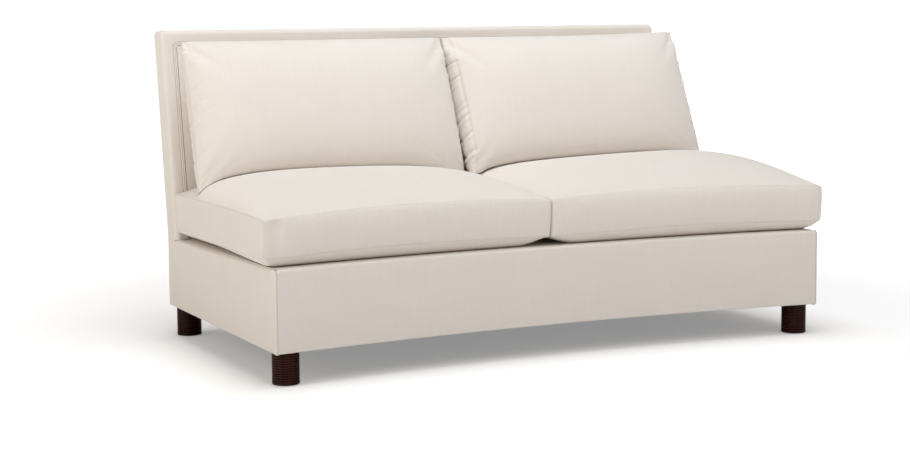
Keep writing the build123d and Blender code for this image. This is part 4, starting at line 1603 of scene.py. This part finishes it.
@dataclass
class BackCushion(SewnCushion):
    """Knife-edged back cushion with gathered sides and pointed corners."""

    seat: SeatCushion = field(default_factory=SeatCushion)
    length: float = 0.453
    lean: float = radians(22.5)
    edge: float = 0.006
    foot: float = 0.849
    head: float = 0.835
    half_gap: float = 0.001
    front_bulge: float = 0.098
    rear_bulge: float = 0.190
    reach: float = 0.228
    clearance: float = 0.0012
    squash: float = 0.026
    seat_gap: float = 0.0008
    draw: float = 0.008
    top_draw: float = 0.006
    puff: float = 0.006
    pressure: float = 4.0
    gathers: float = 0.4
    cells: tuple[int, int, int] = (88, 70, 2)

    def seat_top(self, x: float, y: float) -> float:
        """Height of the seat cushion's crown in the CAD part."""
        outer = self.seat.outer(Side.LEFT, y)
        share = clamp((outer - x) / (outer - self.seat.half_gap))
        front = FORM.front_line(min(x, FORM.half_width), self.seat.setback)
        rear_z = FORM.deck_rear + self.seat.solid_seam
        rear = FORM.front_face(rear_z) - self.seat.rear_gap
        along = (y - front) / (rear - front)
        full = FORM.fullness(share)
        seam = self.seat.solid_seam - self.seat.solid_corner_drop * (1 - full)
        rise = self.seat.solid_side_crown + self.seat.solid_extra_crown * full
        return FORM.deck_height(y, seam) + rise * 4 * along * (1 - along)

    def foot_point(self) -> tuple[float, float]:
        """Y and Z of the point that the cushion's height is measured from."""
        y = FORM.back_foot_y - self.reach
        z = 0.0
        for _ in range(3):
            z = self.seat_top(self.foot, y) + self.clearance
            y = FORM.front_face(z) - self.reach
        return y, z

    def spot(self, across: float, draw: float, out: float, climb: float) -> Vector:
        """Point from the seam plane: out is behind it, climb is up it."""
        y_foot, z_foot = self.foot_point()
        rise = climb / self.length
        outer = lerp(self.foot, self.head, rise) - draw
        y = y_foot + climb * sin(self.lean) + out * cos(self.lean)
        z = z_foot + climb * cos(self.lean) - out * sin(self.lean)
        return Vector((lerp(outer, self.half_gap, across), y, z))

    def low(self, side: Side, across: float) -> float:
        """Climb at which the bottom seam clears the seat."""
        base = self.spot(across, 0, 0, 0)
        rise = self.seat.top(side, base.x, base.y) + self.clearance - base.z
        return rise / cos(self.lean)

    def point(self, side: Side, across: float, up: float, through: float) -> Vector:
        """Point of the sewn cushion, for the right-hand half.

        Args:
            side: The half of the sofa.
            across: Share from the outer side to the inner side.
            up: Share from the bottom seam to the top seam.
            through: 0 on the front panel and 1 on the rear panel.

        Returns:
            The point in the sofa's frame.
        """
        full = FORM.fullness(across)
        swell = sqrt(max(0.0, 1 - abs(2 * up - 1) ** (2.8 if up < 0.5 else 2.1)))
        drawn = self.draw * 4 * up * (1 - up) * clamp(1.15 - across)
        low = self.low(side, across) + 0.001
        high = self.length + 0.007 - self.top_draw * full
        if side is Side.RIGHT:
            high += 0.009 * clamp(1 - across / 0.5) ** 2
            drawn -= 0.007 * clamp(1 - 2 * across)
        climb = lerp(low, high, up)
        bulge = lerp(-self.front_bulge, self.rear_bulge, through)
        out = lerp(-self.edge / 2, self.edge / 2, through) + bulge * full * swell
        climb -= 1.2 * abs(out) * tan(self.lean) * (1 - smooth(up / 0.35))
        if side is Side.RIGHT:
            out -= 0.045 * clamp(4 * across - 3) ** 2 * (1 - up) ** 3
        point = self.spot(across, drawn, out, climb)
        point.y = min(point.y, FORM.front_face(point.z) - self.clear)
        return point

    def pleats(self, side: Side, inner: bool) -> list[Pleat]:
        """Gathers along one side seam.

        Args:
            side: The half of the sofa.
            inner: Whether it is the seam towards the other cushion.

        Returns:
            The gathers: corner folds, main folds and fine puckers.
        """
        chance = Random(f"{side.word}{inner}")
        found = [
            Pleat(0.985, 0.12, 0.0085, 0.024, -1.2),
            Pleat(0.93, 0.05, 0.003, 0.006, -0.5),
            Pleat(0.02, 0.12, 0.006, 0.020, 0.9),
            Pleat(0.075, 0.05, 0.003, 0.006, 0.4),
        ]
        deep = 1.5 if inner else 0.6
        for height in MAIN_FOLDS[side, inner]:
            found.append(
                Pleat(
                    height + chance.uniform(-0.01, 0.01),
                    chance.uniform(0.045, 0.075) * (0.55 if inner else 1.0),
                    chance.uniform(0.0055, 0.0085) * deep,
                    chance.uniform(0.0035, 0.0055),
                    chance.uniform(-0.15, 0.25),
                )
            )
        for number in range(14):
            found.append(
                Pleat(
                    0.08 + 0.86 * (number + chance.uniform(0.1, 0.9)) / 14,
                    chance.uniform(0.016, 0.034),
                    chance.uniform(0.0016, 0.0034) * deep,
                    chance.uniform(0.0032, 0.0048),
                    chance.uniform(-0.2, 0.2),
                )
            )
        return found

    def gather(self, piece: bpy.types.Object, side: Side) -> None:
        """Presses the gathers into the cover beside both side seams."""
        sets = {True: self.pleats(side, True), False: self.pleats(side, False)}
        unit = piece.data.attributes["unit"].data
        normals = [Vector(item.vector) for item in piece.data.vertex_normals]
        for vert, normal in zip(piece.data.vertices, normals):
            across, up, _ = unit[vert.index].vector
            inner = across > 0.5
            distance = (1 - across if inner else across) * 0.84
            height = up * self.length
            depth = 0.0
            if inner and side is Side.RIGHT:
                depth = 0.0035 * exp(-(((distance - 0.020) / 0.004) ** 2))
            for pleat in sets[inner]:
                if distance > pleat.reach:
                    continue
                fade = (1 - distance / pleat.reach) ** 1.2
                fade *= lerp(0.35, 1.0, clamp(distance / 0.010))
                off = height - pleat.height * self.length - pleat.drift * distance
                off /= pleat.width
                groove = exp(-(off**2)) - 0.45 * exp(-((off + 1.9) ** 2))
                depth += pleat.depth * fade * groove
            vert.co -= normal * depth

    def held(self, unit: Vector) -> float:
        """How firmly the filling holds a place: only the seams are held."""
        edge = min(unit.x, 1 - unit.x, unit.y, 1 - unit.y)
        return 1.0 if edge < 0.001 else 0.0

    def rest(self, piece: bpy.types.Object, side: Side, below: BVHTree) -> None:
        """Lets a cushion rest on its seat, clear of the back and the other cushion.

        Args:
            piece: The filled cushion.
            side: The half of the sofa.
            below: The surface of the seat cushion.
        """
        down = Vector((0, 0, -1))
        for vert in piece.data.vertices:
            x, y, z = vert.co
            y = min(y, FORM.front_face(z) - self.clear)
            x = side.value * max(side.value * x, self.half_gap - 0.0003)
            floor = below.ray_cast(Vector((x, y, 1)), down)[0]
            if floor:
                gap = z - floor.z - self.seat_gap
                sunk = max(0.0, gap * smooth(gap / self.squash))
                z = floor.z + self.seat_gap + sunk
            vert.co = (x, y, z)

    def make(self, shop: Workshop, side: Side, seat: bpy.types.Object) -> None:
        """Sews, fills and hands over one back cushion.

        Args:
            shop: Holds the materials.
            side: The half of the sofa.
            seat: The finished seat cushion under it.
        """
        mesh = self.box_mesh(self.cells, self.crispness)
        layer = mesh.loops.layers.uv.new("cloth")
        for vert in mesh.verts:
            for axis in (0, 1):
                share = vert.co[axis]
                vert.co[axis] = lerp(share, (1 - cos(pi * share)) / 2, 0.45)
        for face in mesh.faces:
            for loop in face.loops:
                a, b, c = loop.vert.co
                loop[layer].uv = (a * 0.86 + c * 1.3, b * 0.50 + c * 0.7)
        name = f"back_cushion_{side.word}"
        piece = self.lay_out(name, mesh, partial(self.point, side), side.value)
        self.fill(piece, self.held, self.puff, self.pressure, self.slack)
        self.refine(piece)
        self.sew(piece, (0.84, 0.45, 1.0), self.gathers)
        self.gather(piece, side)
        graph = bpy.context.evaluated_depsgraph_get()
        self.rest(piece, side, BVHTree.FromObject(seat, graph))
        nodes = [f"back_cushion_{part}_{side.word}" for part in ("cover", "fill")]
        shop.hand_over(piece, name, Slot.LINEN, nodes)


# ---- Legs ----------------------------------------------------------------------------


@dataclass
class TurnedLeg:
    """Short round leg with a stack of beads between two plain caps."""

    radius: float = 0.0365
    foot: float = 0.002
    beads: int = 12
    bead_depth: float = 0.0034
    cap: float = 0.004
    segments: int = 56

    def outline(self) -> list[Vector]:
        """Half section of the leg, from its middle at the foot to its top."""
        low, high = self.foot, FORM.base_bottom - 0.0003
        rim = [(0.0015, 0), (0.0004, 0.0007), (0, 0.0018), (0, self.cap - 0.0006)]
        points = [Vector((0, 0, low))]
        points += [Vector((self.radius - inset, 0, low + up)) for inset, up in rim]
        start, end = low + self.cap, high - self.cap
        pitch = (end - start) / self.beads
        for bead in range(self.beads):
            for step in range(9):
                share = step / 8
                z = start + (bead + 0.06 + 0.88 * share) * pitch
                round_out = sqrt(max(0.0, 1 - (2 * share - 1) ** 2))
                out = self.radius - self.bead_depth * (1 - round_out)
                points.append(Vector((out, 0, z)))
        points.append(Vector((self.radius, 0, end + 0.0006)))
        points.append(Vector((self.radius, 0, high)))
        points.append(Vector((0, 0, high)))
        return points

    def make(self, shop: Workshop, name: str) -> None:
        """Turns one leg and hands it over in the place of its node."""
        low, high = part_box(name)
        centre = (low + high) / 2
        mesh = bmesh.new()
        verts = [mesh.verts.new(point) for point in self.outline()]
        edges = [mesh.edges.new(pair) for pair in zip(verts, verts[1:])]
        bmesh.ops.spin(
            mesh, geom=[*verts, *edges], cent=(0, 0, 0), axis=(0, 0, 1),
            angle=2 * pi, steps=self.segments, use_merge=True,
        )
        bmesh.ops.remove_doubles(mesh, verts=mesh.verts, dist=0.00001)
        bmesh.ops.recalc_face_normals(mesh, faces=mesh.faces)
        bmesh.ops.translate(mesh, verts=mesh.verts, vec=(centre.x, centre.y, 0))
        piece = finish_mesh(f"turned_{name}", mesh)
        shop.hand_over(piece, FRAME_BODY, Slot.LEG_WOOD, [name])


# ---- Stage ---------------------------------------------------------------------------


@dataclass(frozen=True)
class SoftLamp:
    """Square studio lamp with a soft box."""

    name: str
    place: tuple[float, float, float]
    size: float
    power: float
    colour: tuple[float, float, float] = (1, 1, 1)
    aim: tuple[float, float, float] = (0, 0, 0.5)

    def hang(self) -> None:
        """Adds the lamp to the scene, turned to its aim."""
        data = bpy.data.lights.new(self.name, "AREA")
        data.size = self.size
        data.energy = self.power
        data.color = self.colour
        light = bpy.data.objects.new(self.name, data)
        light.location = self.place
        ahead = Vector(self.aim) - Vector(self.place)
        light.rotation_mode = "QUATERNION"
        light.rotation_quaternion = ahead.to_track_quat("-Z", "Y")
        bpy.context.scene.collection.objects.link(light)


LAMPS = (
    SoftLamp("overhead", (0, 0, 4.2), 2.5, 80, (0.87, 0.93, 1.0), (0, 0, 0)),
    SoftLamp("high_front", (-0.6, -2.7, 4.6), 3.5, 57),
    SoftLamp("low_front", (0.6, -4.5, 2.8), 3.5, 16),
    SoftLamp("left_side", (-4.2, -0.6, 1.7), 3.0, 39, (1, 0.92, 0.78)),
)


@dataclass(frozen=True)
class Studio:
    """Pale floor, soft light and the camera of the photograph."""

    camera_place: tuple[float, float, float] = (-2.4543, -4.8598, 0.9802)
    yaw: float = radians(25.889)
    pitch: float = radians(6.895)
    roll: float = radians(-0.4007)
    lens: float = 72.64
    sky: float = 0.255
    floor_size: float = 60.0
    floor_glow: float = 0.84
    floor_lift: float = 0.267
    glow_span: tuple[float, float] = (1.05, 3.6)
    backdrop: float = 1.1

    def camera(self) -> None:
        """Sets the camera where the photograph was taken from."""
        data = bpy.data.cameras.new("camera")
        data.lens = self.lens
        data.sensor_width = 36
        data.clip_end = 200
        ahead = Vector((sin(self.yaw), cos(self.yaw), 0))
        right = Vector((cos(self.yaw), -sin(self.yaw), 0))
        look = ahead * cos(self.pitch) - Vector((0, 0, sin(self.pitch)))
        upward = Vector((0, 0, cos(self.pitch))) + ahead * sin(self.pitch)
        level = right * cos(self.roll) + upward * sin(self.roll)
        plumb = upward * cos(self.roll) - right * sin(self.roll)
        turn = Matrix((level, plumb, -look)).transposed().to_4x4()
        camera = bpy.data.objects.new("camera", data)
        camera.matrix_world = Matrix.Translation(self.camera_place) @ turn
        bpy.context.scene.collection.objects.link(camera)
        bpy.context.scene.camera = camera

    def floor(self) -> None:
        """Lays a pale floor that is lit evenly far from the sofa."""
        mesh = bmesh.new()
        bmesh.ops.create_grid(mesh, x_segments=8, y_segments=8, size=self.floor_size)
        floor = finish_mesh("studio_floor", mesh, False)
        material = bpy.data.materials.new("studio_floor")
        material.use_nodes = True
        sheet = NodeSheet(material.node_tree)
        shader = sheet.add("ShaderNodeBsdfPrincipled")
        end = sheet.add("ShaderNodeOutputMaterial")
        sheet.join(shader.outputs[0], end.inputs[0])
        place = sheet.add("ShaderNodeTexCoord").outputs["Object"]
        x, y, _ = sheet.split(place)
        away = sheet.math(
            "SQRT",
            sheet.plus(sheet.times(x, x), sheet.times(y, y)),
        )
        ramp = sheet.add("ShaderNodeMapRange", interpolation_type="SMOOTHSTEP")
        sheet.join(away, ramp.inputs["Value"])
        near, far = self.glow_span
        sheet.fix(ramp, {"From Min": near, "From Max": far})
        sheet.fix(ramp, {"To Min": 0.0, "To Max": self.floor_glow})
        sheet.fix(shader, {"Base Color": (0.9, 0.9, 0.9, 1), "Roughness": 0.9})
        sheet.fix(shader, {"Emission Color": (1, 1, 1, 1)})
        rays = sheet.add("ShaderNodeLightPath")
        lift = sheet.times(rays.outputs["Is Camera Ray"], self.floor_lift)
        glow = sheet.plus(ramp.outputs[0], lift)
        sheet.join(glow, shader.inputs["Emission Strength"])
        floor.data.materials.append(material)

    def lights(self) -> None:
        """Lights the room evenly and hangs the soft lamps."""
        world = bpy.data.worlds.new("studio")
        bpy.context.scene.world = world
        world.use_nodes = True
        sheet = NodeSheet(world.node_tree)
        room = sheet.add("ShaderNodeBackground")
        sheet.fix(room, {"Color": (1, 0.91, 0.82, 1), "Strength": self.sky})
        seen = sheet.add("ShaderNodeBackground")
        sheet.fix(seen, {"Color": (1, 1, 1, 1), "Strength": self.backdrop})
        rays = sheet.add("ShaderNodeLightPath")
        mix = sheet.add("ShaderNodeMixShader")
        sheet.join(rays.outputs["Is Camera Ray"], mix.inputs[0])
        sheet.join(room.outputs[0], mix.inputs[1])
        sheet.join(seen.outputs[0], mix.inputs[2])
        end = sheet.add("ShaderNodeOutputWorld")
        sheet.join(mix.outputs[0], end.inputs[0])
        for lamp in LAMPS:
            lamp.hang()

    def make(self) -> None:
        """Sets up the camera, the floor and the light."""
        self.camera()
        self.floor()
        self.lights()
        bpy.context.scene.view_settings.view_transform = "Standard"


def main() -> None:
    """Builds every piece in order and reports it."""
    logging.basicConfig(level=logging.INFO, format="%(message)s")
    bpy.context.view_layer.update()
    Studio().make()
    shop = Workshop()
    shop.dress_frame()
    BaseCovers().make(shop)
    BackCovers().make(shop)
    seat, back = SeatCushion(), BackCushion()
    for side in Side:
        back.make(shop, side, seat.make(shop, side))
    for name in sorted(frame["nodes"]):
        if name.startswith("leg_front") or name.startswith("leg_rear"):
            TurnedLeg().make(shop, name)


if __name__ == "__main__":
    main()
